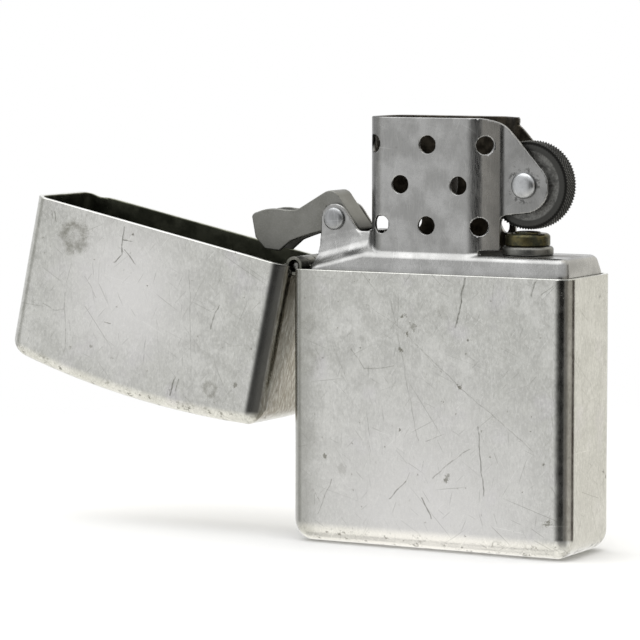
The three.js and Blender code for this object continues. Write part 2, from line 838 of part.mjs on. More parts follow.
// The spring between the screw and the plunger's shoulder.
function flintSpring() {
  const { x, springRadius, springWire, springTurns, screwTop, plungerHead } = FLINT;
  const bottom = screwTop + springWire + CLEARANCE;
  const top = FLINT_BOTTOM - CLEARANCE - plungerHead - springWire - CLEARANCE;
  const perTurn = 9;
  const points = Array.from({ length: springTurns * perTurn + 1 }, (_, i) => {
    const angle = (i / perTurn) * 2 * Math.PI;
    const z = bottom + ((top - bottom) * i) / (springTurns * perTurn);
    return new THREE.Vector3(x + springRadius * Math.cos(angle), springRadius * Math.sin(angle), z);
  });
  const wire = new THREE.Shape().absarc(0, 0, springWire, 0, 2 * Math.PI, false);
  const geometry = new THREE.ExtrudeGeometry(wire, {
    steps: springTurns * perTurn,
    extrudePath: new THREE.CatmullRomCurve3(points),
    curveSegments: 3,
    bevelEnabled: false,
  });
  return piece("flint_spring", springSteel, solid(geometry));
}

function flintScrew() {
  const { x, tubeBore, screwTop, screwBottom, screwHeadRadius, screwHeadHeight } = FLINT;
  const { screwEdge, screwGap, screwSlot } = FLINT;
  const headTop = screwBottom + screwHeadHeight;
  const shankRadius = tubeBore - screwGap;
  const profile = [
    [0, screwBottom],
    [screwHeadRadius - screwEdge, screwBottom],
    [screwHeadRadius, screwBottom + screwEdge],
    [screwHeadRadius, headTop],
    [shankRadius, headTop],
    [shankRadius, screwTop],
    [0, screwTop],
  ];
  const head = turnedZ(x, profile, 24);
  const [width, depth] = screwSlot;
  const slot = box(x - 3, x + 3, -width / 2, width / 2, screwBottom - 1, screwBottom + depth);
  return piece("flint_screw", tubeBrass, cut(head, slot));
}

// ---------------------------------------------------------------- wick, packing and felt

function wick() {
  const { x, radius, top, bottom } = WICK;
  const profile = [[0, bottom], [radius, bottom], [radius, top - 0.5], [radius - 0.4, top], [0, top]];
  return piece("wick", wickCotton, turnedZ(x, profile, 16));
}

// A layer that fills the can, with room for the tube, the wick and the rivet's tail.
function fillLayer(name, material, z0, z1, holes) {
  const gap = SHEET + PACKING.wallGap;
  const outline = roundedRectangle(
    INSERT.left + gap,
    INSERT.right - gap,
    INSERT.depth / 2 - gap,
    INSERT.cornerRadius,
    3,
  );
  const layer = upright(polygon(outline), z0, z1);
  const bores = holes.map(([x, radius]) => rodZ(x, 0, radius, z0 - 1, z1 + 1, 16));
  return piece(name, material, cut(layer, ...bores));
}

function packing() {
  const { count, bottom, top, gap, holeGap } = PACKING;
  const pitch = (top - bottom) / count;
  return Array.from({ length: count }, (_, i) => {
    const z0 = bottom + i * pitch;
    const z1 = z0 + pitch - gap;
    const holes = [[FLINT.x, FLINT.tubeRadius + holeGap]];
    if (z1 > WICK.bottom) holes.push([WICK.x, WICK.radius + holeGap]);
    return fillLayer(`packing_${i + 1}`, cotton, z0, z1, holes);
  });
}

function feltPad() {
  const { bottom, thickness } = FELT;
  const hole = [[FLINT.x, FLINT.screwHeadRadius + PACKING.holeGap]];
  return fillLayer("felt_pad", felt, bottom, bottom + thickness, hole);
}

// ---------------------------------------------------------------- assembly

// The lid's pieces are made closed, and turned open about the hinge pin.
function openLid(...pieces) {
  const turned = new THREE.Group();
  turned.position.set(HINGE.x, 0, HINGE.z);
  turned.rotation.y = -THREE.MathUtils.degToRad(HINGE.openAngle);
  for (const mesh of pieces) {
    mesh.position.set(-HINGE.x, 0, -HINGE.z);
    turned.add(mesh);
  }
  return turned;
}

function lighter() {
  const insert = new THREE.Group();
  insert.add(insertShell(), wick(), ...packing(), feltPad());
  insert.add(rivet("cam_rivet", CAM), camLever(), camSpring(), camSpringRivet());
  insert.add(rivet("wheel_rivet", WHEEL), flintWheel());
  insert.add(flintTube(), tubeFlange(), tubeCollar());
  insert.add(flintStone(), plunger(), flintSpring(), flintScrew());

  const group = new THREE.Group();
  group.add(caseShell(), hingeLeaf("case_hinge_leaf", -1, 1), hingePin());
  group.add(openLid(lidShell(), hingeLeaf("lid_hinge_leaf", 1, 0)));
  group.add(insert);
  return group;
}

export default lighter();
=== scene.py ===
"""A worn flip-top lighter standing open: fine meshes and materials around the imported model.

Lengths in the making functions are millimetres in the model's frame, +Z up and -Y front; MM turns them
into Blender's metres. Most pieces are given as a signed distance, negative inside the metal, and meshed
where it is zero.
"""

import json
import math

import bpy
import numpy as np
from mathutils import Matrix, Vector

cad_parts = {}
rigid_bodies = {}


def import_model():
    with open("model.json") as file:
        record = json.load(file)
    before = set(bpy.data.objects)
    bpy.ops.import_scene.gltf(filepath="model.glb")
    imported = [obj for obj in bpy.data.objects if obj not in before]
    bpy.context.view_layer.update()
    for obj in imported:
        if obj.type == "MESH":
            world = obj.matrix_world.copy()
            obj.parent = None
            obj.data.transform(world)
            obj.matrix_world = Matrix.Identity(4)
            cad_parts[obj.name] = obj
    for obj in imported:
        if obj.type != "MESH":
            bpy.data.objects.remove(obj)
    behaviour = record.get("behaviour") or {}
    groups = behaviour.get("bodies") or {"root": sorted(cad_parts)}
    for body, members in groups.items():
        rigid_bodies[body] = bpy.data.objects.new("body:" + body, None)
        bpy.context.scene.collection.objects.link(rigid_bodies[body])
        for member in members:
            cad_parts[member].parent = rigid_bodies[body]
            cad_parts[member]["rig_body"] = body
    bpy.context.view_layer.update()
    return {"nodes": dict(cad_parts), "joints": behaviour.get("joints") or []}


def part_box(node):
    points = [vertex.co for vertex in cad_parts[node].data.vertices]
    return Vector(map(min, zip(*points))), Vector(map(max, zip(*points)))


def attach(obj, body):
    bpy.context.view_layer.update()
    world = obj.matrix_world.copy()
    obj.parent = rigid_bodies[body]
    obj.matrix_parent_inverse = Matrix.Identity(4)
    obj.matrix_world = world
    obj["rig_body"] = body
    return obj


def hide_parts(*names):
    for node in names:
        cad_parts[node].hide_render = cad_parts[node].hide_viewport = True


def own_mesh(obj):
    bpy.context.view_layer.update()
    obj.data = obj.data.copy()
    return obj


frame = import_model()

MM = 0.001


def corners(node):
    """The lowest and highest corner of a CAD node, in millimetres."""
    return [np.array(corner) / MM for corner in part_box(node)]


def pivot(joint):
    """The place of a joint, in millimetres."""
    found = next(j for j in frame["joints"] if j["name"] == joint)
    return np.array(found["pos_m"]) / MM


# ---- sizes

HALF_LENGTH, HALF_DEPTH, RIM = corners("case_shell")[1]
WALL = 0.65
CORNER = 2.0  # upright corners of the case and the lid
BOTTOM_EDGE = 2.7

HINGE = pivot("lid_hinge")
OPEN_ANGLE = 168
BARREL_LOW, BARREL_HIGH = corners("hinge_pin")

LID_RIM = RIM + 0.25
LID_HEIGHT = 22.25
LID_SAG = 1.45
LID_EDGE = 1.9
LID_HINGE_END = 2.3
LID_FREE_END = 3.2
NOTCH = 1.3  # from the hinge's line to the edge of its notch
RIM_DENT = (16.6, 1.1, 0.07)  # in the lid's front rim: its X with the lid shut, its reach and its depth

SHEET = 0.45  # the insert's pressed steel
CAN_LOW, CAN_HIGH = corners("insert_shell")
CAN_CORNER = 1.2
SPRING_RIVET_X = -4.9
DECK = corners("tube_flange")[0][2] - 0.06
SHOULDER = 34.2
SHOULDER_LEAN = 0.33

WHEEL = pivot("wheel_spin")
WHEEL_RADIUS = 5.4
CAM = pivot("cam_pivot")
TUBE = corners("flint_tube")
TUBE_X = (TUBE[0][0] + TUBE[1][0]) / 2
WICK_LOW, WICK_HIGH = corners("wick")
WICK_X = (WICK_LOW[0] + WICK_HIGH[0]) / 2

GUARD_LEFT = -9.6
GUARD_FRONT = 4.6
GUARD_LEFT_RADIUS = 2.9
GUARD_FLAT_END = 4.3
GUARD_BEND = math.radians(42)
GUARD_BEND_RADIUS = 3.0
GUARD_INNER_RADIUS = 1.0
GUARD_TOP = CAN_HIGH[2]
GUARD_LOWER_END = 7.9
SQUARE_CORNER = (8.45, 0.9)  # the back wall's square top corner: its X and its height
EAR_FACE = 2.2
WHEEL_EAR = (3.2, -83.5, 42.8)  # an ear's round end: its radius, and where its straight sides leave it
HOLE_RADIUS = 1.1
VENT_ROWS = [(49.6, (-8.6, -0.9, 6.8)), (44.7, (-4.6, 3.3)), (39.75, (-7.3, -1.0, 6.1))]

CAM_EAR_FACE = 2.5
CAM_EAR = (1.85, 35.7, 177)

# What is cut out of the insert: radii, and the leaf spring's slot by its half width and height.
SPRING_SLOT = (1.85, 2.1)
CAM_BORE = 0.84
WHEEL_BORE = 0.88
SPRING_RIVET_BORE = 0.7
TUBE_HOLE = 1.66
WICK_HOLE = 1.5

# The pieces made here, each with the CAD node that it replaces.
REPLACED = dict(
    case_outer_shell="case_shell", case_hinge_plate="case_hinge_leaf", hinge_rod="hinge_pin",
    lid_outer_shell="lid_shell", lid_hinge_plate="lid_hinge_leaf", insert_pressing="insert_shell",
    cam_channel="cam_lever", cam_axle="cam_rivet", cam_leaf_spring="cam_spring",
    striker_wheel="flint_wheel", wheel_axle="wheel_rivet", fuel_tube="flint_tube",
    tube_washer="tube_flange", tube_ferrule="tube_collar", flint_rod="flint", flint_pusher="plunger",
    flint_coil="flint_spring", spring_screw="flint_screw", twisted_wick="wick", felt_base="felt_pad",
    **{f"cotton_{i}": f"packing_{i}" for i in range(1, 5)},
)


# ---- signed distances


def both(a, b, radius=0.0):
    """Where a and b overlap, with the edge between them rounded."""
    sharp = np.maximum(a, b)
    return np.minimum(sharp, -radius) + np.hypot(np.maximum(a + radius, 0), np.maximum(b + radius, 0))


def either(a, b, radius=0.0):
    """a and b together, with the corner between them filled to a radius."""
    sharp = np.minimum(a, b)
    return np.maximum(sharp, radius) - np.hypot(np.maximum(radius - a, 0), np.maximum(radius - b, 0))


def rounded_rectangle(x, y, half_length, half_depth, radius):
    u = np.abs(x) - half_length + radius
    v = np.abs(y) - half_depth + radius
    return np.hypot(np.maximum(u, 0), np.maximum(v, 0)) + np.minimum(np.maximum(u, v), 0) - radius


def span(value, low, high):
    """Distance outside the span from low to high."""
    return np.maximum(low - value, value - high)


def soft_over(value, width):
    """value where it is well above 0, and 0 where it is well below."""
    return width * np.logaddexp(0, value / width)


def smooth_step(value, low, high):
    t = np.clip((value - low) / (high - low), 0, 1)
    return t * t * (3 - 2 * t)


def ripple(x, y, z, pitch):
    """A slow uneven wave over a worn surface, between about -1 and 1."""
    a = np.sin(2 * np.pi * (x + 0.6 * z) / pitch + 1.3 * np.sin(y / pitch + z / (1.7 * pitch)))
    b = np.sin(2 * np.pi * (z - 0.4 * x) / (0.73 * pitch) + 1.1 * np.sin(x / (1.3 * pitch) + 2.0))
    return 0.5 * (a + b)


def nearest(pieces):
    """The signed distance of the nearest of several pieces of one line."""
    best = pieces[0]
    for piece in pieces[1:]:
        best = np.where(np.abs(piece) < np.abs(best), piece, best)
    return best


def side_of_segment(x, y, start, end):
    """Distance to a segment, positive on its left."""
    dx, dy = end[0] - start[0], end[1] - start[1]
    t = np.clip(((x - start[0]) * dx + (y - start[1]) * dy) / (dx * dx + dy * dy), 0, 1)
    across = dx * (y - start[1]) - dy * (x - start[0])
    return np.copysign(np.hypot(x - start[0] - t * dx, y - start[1] - t * dy), across)


def side_of_arc(x, y, centre, radius, low, high):
    """Distance to an arc between two angles, positive outside its circle."""
    u, v = x - centre[0], y - centre[1]
    middle = (low + high) / 2
    turn = (np.arctan2(v, u) - middle + np.pi) % (2 * np.pi) - np.pi
    angle = middle + np.clip(turn, low - middle, high - middle)
    away = np.hypot(u - radius * np.cos(angle), v - radius * np.sin(angle))
    return np.copysign(away, np.hypot(u, v) - radius)


def tongue(x, z, centre, radius, low, high):
    """A flat tongue with a round tip, between the lines that leave its circle at two angles in degrees."""
    u, w = x - centre[0], z - centre[1]
    sides = []
    beyond = []
    for angle, way in ((math.radians(low), 1), (math.radians(high), -1)):
        c, s = math.cos(angle), math.sin(angle)
        sides.append(c * u + s * w - radius)
        beyond.append(way * (c * w - s * u) < 0)
    round_tip = np.hypot(u, w) - radius
    return np.where(beyond[0] | beyond[1], np.maximum(*sides), round_tip)


def inside_polygon(x, y, points):
    inside = np.zeros(np.broadcast(x, y).shape, bool)
    for (x0, y0), (x1, y1) in zip(points, points[1:] + points[:1]):
        if y0 == y1:
            continue
        crosses = (y0 > y) != (y1 > y)
        inside ^= crosses & (x < x0 + (y - y0) * (x1 - x0) / (y1 - y0))
    return inside


def polygon(x, y, points):
    """Distance to a polygon, negative inside."""
    away = np.full(np.broadcast(x, y).shape, np.inf)
    for start, end in zip(points, points[1:] + points[:1]):
        away = np.minimum(away, np.abs(side_of_segment(x, y, start, end)))
    return np.where(inside_polygon(x, y, points), -away, away)


# ---- from distance to mesh


def grid_lines(low, high, fine, coarse, *zones):
    """Places from low to high, fine apart inside the zones and coarse apart outside them."""
    ends = [end for zone in zones for end in zone if low < end < high]
    stops = sorted({low, high, *ends})
    lines = [low]
    for a, b in zip(stops, stops[1:]):
        step = fine if any(z0 <= (a + b) / 2 <= z1 for z0, z1 in zones) else coarse
        count = max(1, round((b - a) / step))
        lines.extend(a + (b - a) * (i + 1) / count for i in range(count))
    return np.array(lines)


def gradient(solid, points, step=0.004):
    slopes = np.empty_like(points)
    for k in range(3):
        offset = np.zeros(3)
        offset[k] = step
        slopes[:, k] = (solid(*(points + offset).T) - solid(*(points - offset).T)) / (2 * step)
    return slopes


def surface_net(solid, xs, ys, zs):
    """Points and quads of the surface where solid is 0: one point in each cell that it crosses."""
    lines = [xs, ys, zs]
    shape = (len(xs), len(ys), len(zs))
    values = np.broadcast_to(solid(*np.meshgrid(xs, ys, zs, indexing="ij", sparse=True)), shape)
    cells = np.array(shape) - 1
    crossings = []
    rings = []
    for axis in range(3):
        low = np.take(values, np.arange(cells[axis]), axis)
        high = np.take(values, np.arange(1, cells[axis] + 1), axis)
        at = np.argwhere((low < 0) != (high < 0))
        a, b = low[tuple(at.T)], high[tuple(at.T)]
        points = np.stack([lines[k][at[:, k]] for k in range(3)], 1)
        gap = lines[axis][at[:, axis] + 1] - lines[axis][at[:, axis]]
        points[:, axis] += gap * a / (a - b)
        u, v = (axis + 1) % 3, (axis + 2) % 3
        ring = []
        for du, dv in ((0, 0), (1, 0), (1, 1), (0, 1)):
            cell = at.copy()
            cell[:, u] -= du
            cell[:, v] -= dv
            ring.append(np.ravel_multi_index(cell.T, cells))
        ring = np.stack(ring, 1)
        inwards = a > 0
        ring[inwards] = ring[inwards][:, ::-1]
        crossings.append(np.repeat(points, 4, axis=0))
        rings.append(ring)
    quads = np.concatenate(rings)
    crossings = np.concatenate(crossings)
    used, quads = np.unique(quads, return_inverse=True)
    quads = quads.reshape(-1, 4)
    owner = quads.ravel()
    count = np.bincount(owner, minlength=len(used))
    points = np.stack([np.bincount(owner, crossings[:, k], len(used)) / count for k in range(3)], 1)
    return points, quads


def settle(solid, points, reach, rounds=4):
    """Moves points on to the surface, each round no further than reach."""
    for _ in range(rounds):
        slope = gradient(solid, points)
        steep = np.maximum((slope**2).sum(1), 1e-4)
        move = -(solid(*points.T) / steep)[:, None] * slope
        length = np.maximum(np.linalg.norm(move, axis=1, keepdims=True), 1e-9)
        points = points + move * np.minimum(1, reach / length)
    return points


def turned_open(points):
    """From the lid's closed place to its open one, about the hinge."""
    angle = -math.radians(OPEN_ANGLE)
    c, s = math.cos(angle), math.sin(angle)
    dx, dz = points[:, 0] - HINGE[0], points[:, 2] - HINGE[2]
    return np.stack([HINGE[0] + c * dx + s * dz, points[:, 1], HINGE[2] - s * dx + c * dz], 1)


def box_grid(node, margin, step):
    """Even grid lines round a CAD node's box."""
    low, high = corners(node)
    return [grid_lines(low[k] - margin, high[k] + margin, step, step) for k in range(3)]


def circle(count):
    """Angles evenly round a circle."""
    return np.arange(count) * 2 * np.pi / count


def skin(rings, count, closed=False):
    """Faces over rings of count points each. They join up when closed, and have end caps when not."""
    faces = []
    for i in range(rings if closed else rings - 1):
        a, b = i * count, (i + 1) % rings * count
        for k in range(count):
            n = (k + 1) % count
            faces.append((a + k, a + n, b + n, b + k))
    if not closed:
        faces.append(tuple(range(count))[::-1])
        faces.append(tuple((rings - 1) * count + k for k in range(count)))
    return faces


def add_piece(name, points, faces, material, normals=None, marks=None):
    """A mesh from points in millimetres, in its CAD node's place. marks are point attributes."""
    node = REPLACED[name]
    mesh = bpy.data.meshes.new(name)
    mesh.from_pydata((points * MM).tolist(), [], [list(face) for face in faces])
    mesh.validate()
    mesh.shade_smooth()
    for mark, values in (marks or {}).items():
        attribute = mesh.attributes.new(mark, "FLOAT", "POINT")
        attribute.data.foreach_set("value", values.astype(np.float32))
    if normals is not None:
        mesh.normals_split_custom_set_from_vertices(normals.tolist())
    piece = bpy.data.objects.new(name, mesh)
    bpy.context.scene.collection.objects.link(piece)
    mesh.materials.append(material)
    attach(piece, frame["nodes"][node]["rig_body"])
    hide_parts(node)
    return piece


def add_solid(name, solid, grid, material, turn=None, marks=None):
    """Meshes a signed distance. turn moves the points afterwards; marks are functions of x, y and z."""
    points, quads = surface_net(solid, *grid)
    fine = min(float(np.diff(line).min()) for line in grid)
    points = settle(solid, points, fine / 2)
    normals = gradient(solid, points)
    normals /= np.maximum(np.linalg.norm(normals, axis=1, keepdims=True), 1e-9)
    values = {mark: np.clip(fn(*points.T), 0, 1) for mark, fn in (marks or {}).items()}
    if turn is not None:
        normals = turn(points + normals) - turn(points)
        points = turn(points)
    return add_piece(name, points, quads, material, normals, values)


def eased(profile, radius, steps=3):
    """A profile with each inner corner between its ends cut to a small round edge."""
    points = [profile[0]]
    for before, corner, after in zip(profile, profile[1:], profile[2:]):
        before, corner, after = (np.array(p, float) for p in (before, corner, after))
        reach = min(radius, np.linalg.norm(before - corner) / 2.1, np.linalg.norm(after - corner) / 2.1)
        start = corner + reach * (before - corner) / np.linalg.norm(before - corner)
        end = corner + reach * (after - corner) / np.linalg.norm(after - corner)
        for i in range(steps + 1):
            t = i / steps
            points.append(tuple((1 - t) ** 2 * start + 2 * t * (1 - t) * corner + t * t * end))
    points.append(profile[-1])
    return points


def add_turned(name, profile, place, axis, material, radius=0.08, segments=64, closed=False):
    """A turned piece: profile points are [radius, place along the axis], drawn round the axis."""
    points = eased(profile + profile[:2], radius)[1:-1] if closed else eased(profile, radius)
    rings = np.array(points, float)
    r, along = rings[:, :1], rings[:, 1:]
    u, v = r * np.cos(circle(segments)), r * np.sin(circle(segments))
    w = np.broadcast_to(along, u.shape)
    cloud = {"z": (u, v, w), "y": (v, w, u)}[axis]
    cloud = np.stack(cloud, 2).reshape(-1, 3) + np.array(place, float)
    piece = add_piece(name, cloud, skin(len(rings), segments, closed), material)
    piece.data.set_sharp_from_angle(angle=math.radians(50))


# ---- the case and the lid


def worn(x, y, z):
    """How far a worn face lies under its true place."""
    return 0.009 * (1 + ripple(x, y, z, 13.0))


def case_block(x, y, z):
    plan = rounded_rectangle(x, y, HALF_LENGTH, HALF_DEPTH, CORNER)
    return both(plan, -z, BOTTOM_EDGE) + worn(x, y, z)


def lid_block(x, y, z):
    crown = LID_RIM + LID_HEIGHT - LID_SAG * (x / HALF_LENGTH) ** 2
    slope = 2 * LID_SAG * x / HALF_LENGTH**2
    above = (z - crown) / np.hypot(1, slope)
    plan = rounded_rectangle(x, y, HALF_LENGTH, HALF_DEPTH, CORNER)
    sides = both(plan, above, LID_EDGE)
    hinge_end = both(-x - HALF_LENGTH, above, LID_HINGE_END)
    free_end = both(x - HALF_LENGTH, above, LID_FREE_END)
    return np.maximum(sides, np.maximum(hinge_end, free_end)) + worn(x, y, z)


def pressed(block, rim, notch):
    """A shell of the block, open at its rim, with the notch for the hinge."""
    wall = np.maximum(block, -(block + WALL))
    return both(both(wall, rim, 0.14), -notch, 0.08)


def hinge_notch(x, y, edge):
    across = span(y, -BARREL_HIGH[1] - 0.2, BARREL_HIGH[1] + 0.2)
    return np.maximum(np.maximum(x + HALF_LENGTH - 2 * WALL, across), edge)


# A mark is a function of x, y and z, whichever of them it needs, with its value kept between 0 and 1.


def case_edge(x, y, z):
    """1 on the rounded bottom edge of the case."""
    return smooth_step(2.3 - z, 0, 1.2)


def lid_edge(x, y, z):
    """1 on the rounded crown edge of the lid."""
    return smooth_step(z - LID_RIM - LID_HEIGHT + LID_SAG * (x / HALF_LENGTH) ** 2 + 2.0, 0, 1.2)


def lid_hinge_wall_reflection(x, y, z):
    """1 on the lid's wall at its hinge, where a brownish reflection of the case's wall is painted."""
    return smooth_step(-HALF_LENGTH + 1.3 - x, 0, 1.2)


def lid_corner_reflection(x, y, z):
    """1 on the lid's two upright corners at its hinge, where a dark reflection is painted."""
    band = smooth_step(x + HALF_LENGTH, 0.15, 0.55) * smooth_step(-HALF_LENGTH + 2.3 - x, 0, 0.7)
    return band * (1 - lid_edge(x, y, z))


def case_corner_reflection(x, y, z):
    """A dark reflection painted on the case's two upright corners away from its hinge."""
    band = smooth_step(HALF_LENGTH - x, 0.3, 0.6) * smooth_step(x - HALF_LENGTH + 1.6, 0, 0.5)
    return 0.7 * band * (1 - case_edge(x, y, z))


def depth_in_wall(block):
    """0 on a shell's outer face and 1 on its inner face."""
    return lambda x, y, z: -block(x, y, z) / WALL


def shell_grid(low, high, closed_end, open_end):
    """Grid lines for a shell: fine at its walls, its closed end, its rim and its notch's ends."""

    def lines(half, corner, *zones):
        walls = [(-half - 1, corner - half), (half - corner, half + 1)]
        return grid_lines(-half - 0.4, half + 0.4, 0.14, 0.8, *walls, *zones)

    return (
        lines(HALF_LENGTH, 3.4),
        lines(HALF_DEPTH, 2.3, (-5.5, -4.9), (4.9, 5.5)),
        grid_lines(low, high, 0.14, 0.8, closed_end, open_end),
    )


def case_shell(material):
    def solid(x, y, z):
        notch = hinge_notch(x, y, HINGE[2] - NOTCH - z)
        return pressed(case_block(x, y, z), z - RIM, notch)

    grid = shell_grid(-0.4, RIM + 0.4, (-1, 3.2), (RIM - 1.5, RIM + 1))
    marks = {"inside": depth_in_wall(case_block), "edge": case_edge, "corner": case_corner_reflection}
    add_solid("case_outer_shell", solid, grid, material, marks=marks)


def lid_shell(material):
    place, reach, depth = RIM_DENT

    def solid(x, y, z):
        dent = depth * np.exp(-((x - place) ** 2 + (z - LID_RIM) ** 2) / reach**2) * (y > 0)
        notch = hinge_notch(x, y, z - HINGE[2] - NOTCH)
        return pressed(lid_block(x, y + dent, z), LID_RIM + 4 * dent - z, notch)

    top = LID_RIM + LID_HEIGHT
    grid = shell_grid(LID_RIM - 0.4, top + 0.4, (top - 4.8, top + 1), (LID_RIM - 1, LID_RIM + 1.5))
    marks = {"inside": depth_in_wall(lid_block), "edge": lid_edge}
    marks |= {"lid_hinge_wall_reflection": lid_hinge_wall_reflection, "corner": lid_corner_reflection}
    add_solid("lid_outer_shell", solid, grid, material, turned_open, marks)


# ---- the hinge

KNUCKLES = 5
BARREL = 1.15
CURL = 0.38
LEAF = 0.4
LEAF_HEIGHT = 9
KNUCKLE_GAP = 0.12
PIN_RADIUS = 0.48
PIN_INSET = 0.5  # of the pin's ends inside the barrel


def hinge_half(name, up, first, rim, material, turn=None):
    """A leaf inside a shell's wall, and every other knuckle curled round the pin."""
    face = -HALF_LENGTH + WALL + 0.06
    pitch = (BARREL_HIGH[1] - BARREL_LOW[1] + KNUCKLE_GAP) / KNUCKLES
    start = -pitch * KNUCKLES / 2
    low, high = sorted([HINGE[2] + up * 0.7, rim + up * LEAF_HEIGHT])

    def solid(x, y, z):
        radius = np.hypot(x - HINGE[0], z - HINGE[2])
        curl = np.maximum(radius - BARREL, BARREL - CURL - radius)
        neck_ends = sorted([HINGE[2], rim + up * 0.95])
        neck = both(span(x, HINGE[0] + BARREL - LEAF, face + LEAF), span(z, *neck_ends), 0.05)
        mouth = both(span(x, HINGE[0] + 0.1, HINGE[0] + 0.28), up * (HINGE[2] - z) + 0.2)
        one = either(both(curl, -mouth, 0.05), neck, 0.05)
        middles = [start + (i + 0.5) * pitch for i in range(first, KNUCKLES, 2)]
        away = np.minimum.reduce([np.abs(y - middle) for middle in middles]) - pitch / 2 + KNUCKLE_GAP / 2
        half_width = pitch * KNUCKLES / 2 - 0.4
        sheet = rounded_rectangle(y, z - (low + high) / 2, half_width, (high - low) / 2, 0.3)
        leaf = both(sheet, span(x, face, face + LEAF), 0.06)
        return either(both(one, away, 0.06), leaf, 0.04)

    ends = sorted([HINGE[2] - up * 1.4, rim + up * (LEAF_HEIGHT + 0.3)])
    near = sorted([HINGE[2] - up * 1.5, rim + up * 1.3])
    far = sorted([rim + up * (LEAF_HEIGHT - 0.5), rim + up * (LEAF_HEIGHT + 0.4)])
    grid = (
        grid_lines(HINGE[0] - 1.4, face + LEAF + 0.2, 0.09, 0.09),
        grid_lines(start - 0.2, -start + 0.2, 0.1, 0.1),
        grid_lines(*ends, 0.1, 0.5, near, far),
    )
    add_solid(name, solid, grid, material, turn)


def hinge_pin(material):
    low, high = BARREL_LOW[1] + PIN_INSET, BARREL_HIGH[1] - PIN_INSET
    end = [(0.02, 0.02), (0.34, 0.04), (PIN_RADIUS, 0.16)]
    profile = [(r, low + y) for r, y in end] + [(r, high - y) for r, y in end[::-1]]
    add_turned("hinge_rod", profile, (HINGE[0], 0, HINGE[2]), "y", material, segments=32)


# ---- the insert's pressed shell

RAMP_LOW = 34.3  # the ramp that the cam lies in, at the hinge end and at the windguard
RAMP_HIGH = 38.4
FLANK_RISE = 0.232  # the bend at the top of the ramp's flanks climbs by this slope,
FLANK_START = (-16.57, 37.66)  # from this X and Z,
FLANK_LEVEL_FROM = -12.2  # and is level from here
FLANK_LEAN = 0.42


def deck_height(x):
    """The deck is flat up to the windguard, and falls away towards the hinge end."""
    return DECK - 0.268 * soft_over(GUARD_LEFT + 0.2 - x, 0.12)


def ramp_height(x):
    return RAMP_LOW + (x - CAN_LOW[0]) * (RAMP_HIGH - RAMP_LOW) / (GUARD_LEFT - CAN_LOW[0])


def can(x, y, z):
    """The rounded box with leaning shoulders, as a closed block."""
    lean = SHOULDER_LEAN * soft_over(z - SHOULDER, 0.1)
    middle = (CAN_LOW[0] + CAN_HIGH[0]) / 2 - 0.05 * lean
    half = (CAN_HIGH[0] - CAN_LOW[0]) / 2 - 0.55 * lean
    plan = rounded_rectangle(x - middle, y, half, CAN_HIGH[1] - lean, CAN_CORNER)
    return both(plan, z - deck_height(x), 0.7)


def flank_top(x):
    """Height of the bend between the ridge's flank and the cam's ear."""
    return FLANK_START[1] + FLANK_RISE * (np.minimum(x, FLANK_LEVEL_FROM) - FLANK_START[0])


def ridge_side(x, y, z):
    """Distance outside the two sloping flanks under the cam's ears."""
    away = np.abs(y) - CAM_EAR_FACE - FLANK_LEAN * np.maximum(flank_top(x) - z, 0)
    return away * 0.922  # the cosine of the lean


def ridge(x, y, z):
    ends = span(x, CAN_LOW[0] + 0.05 + 0.085 * (z - RAMP_LOW), GUARD_LEFT + SHEET / 2)
    block = np.maximum(both(ridge_side(x, y, z), z - flank_top(x), 0.12), ends)
    return np.maximum(block, SHOULDER - 1 - z)


def guard_face(x, y):
    """Distance outside the windguard's outer face, seen in plan."""
    v = np.abs(y)
    arcs = GUARD_BEND_RADIUS + GUARD_INNER_RADIUS
    drop = GUARD_FRONT - EAR_FACE - arcs * (1 - math.cos(GUARD_BEND))
    ear_start = GUARD_FLAT_END + arcs * math.sin(GUARD_BEND) + drop / math.tan(GUARD_BEND)
    left = (GUARD_LEFT + GUARD_LEFT_RADIUS, GUARD_FRONT - GUARD_LEFT_RADIUS)
    outer = (GUARD_FLAT_END, GUARD_FRONT - GUARD_BEND_RADIUS)
    inner = (ear_start, EAR_FACE + GUARD_INNER_RADIUS)
    aim = math.pi / 2 - GUARD_BEND
    slope = [
        (centre[0] + radius * math.cos(aim), centre[1] + radius * math.sin(aim))
        for centre, radius in ((outer, GUARD_BEND_RADIUS), (inner, -GUARD_INNER_RADIUS))
    ]
    beyond_ear = WHEEL[0] + 6
    return nearest(
        [
            side_of_segment(x, v, (GUARD_LEFT, -1), (GUARD_LEFT, left[1])),
            side_of_arc(x, v, left, GUARD_LEFT_RADIUS, math.pi / 2, math.pi),
            side_of_segment(x, v, (left[0], GUARD_FRONT), (GUARD_FLAT_END, GUARD_FRONT)),
            side_of_arc(x, v, outer, GUARD_BEND_RADIUS, aim, math.pi / 2),
            side_of_segment(x, v, *slope),
            -side_of_arc(x, v, inner, GUARD_INNER_RADIUS, aim + math.pi, 1.5 * math.pi),
            side_of_segment(x, v, (ear_start, EAR_FACE), (beyond_ear, EAR_FACE)),
        ]
    )


def guard_outline(x, y, z):
    """What is kept of the windguard, seen from the front. The back wall keeps a square corner."""
    ear = tongue(x, z, (WHEEL[0], WHEEL[2] - 0.2), *WHEEL_EAR)
    upper = both(ear, z - GUARD_TOP, 1.5)
    end, height = SQUARE_CORNER
    square = np.maximum(x - end, np.abs(z - GUARD_TOP + height / 2) - height / 2)
    upper = np.where(y > 0, np.minimum(upper, square), upper)
    walls = np.maximum(x - GUARD_LOWER_END, z - WHEEL[2])
    slot = both(5.8 - x, z - DECK - 0.55, 0.25)
    return both(either(upper, walls, 0.6), -slot, 0.08)


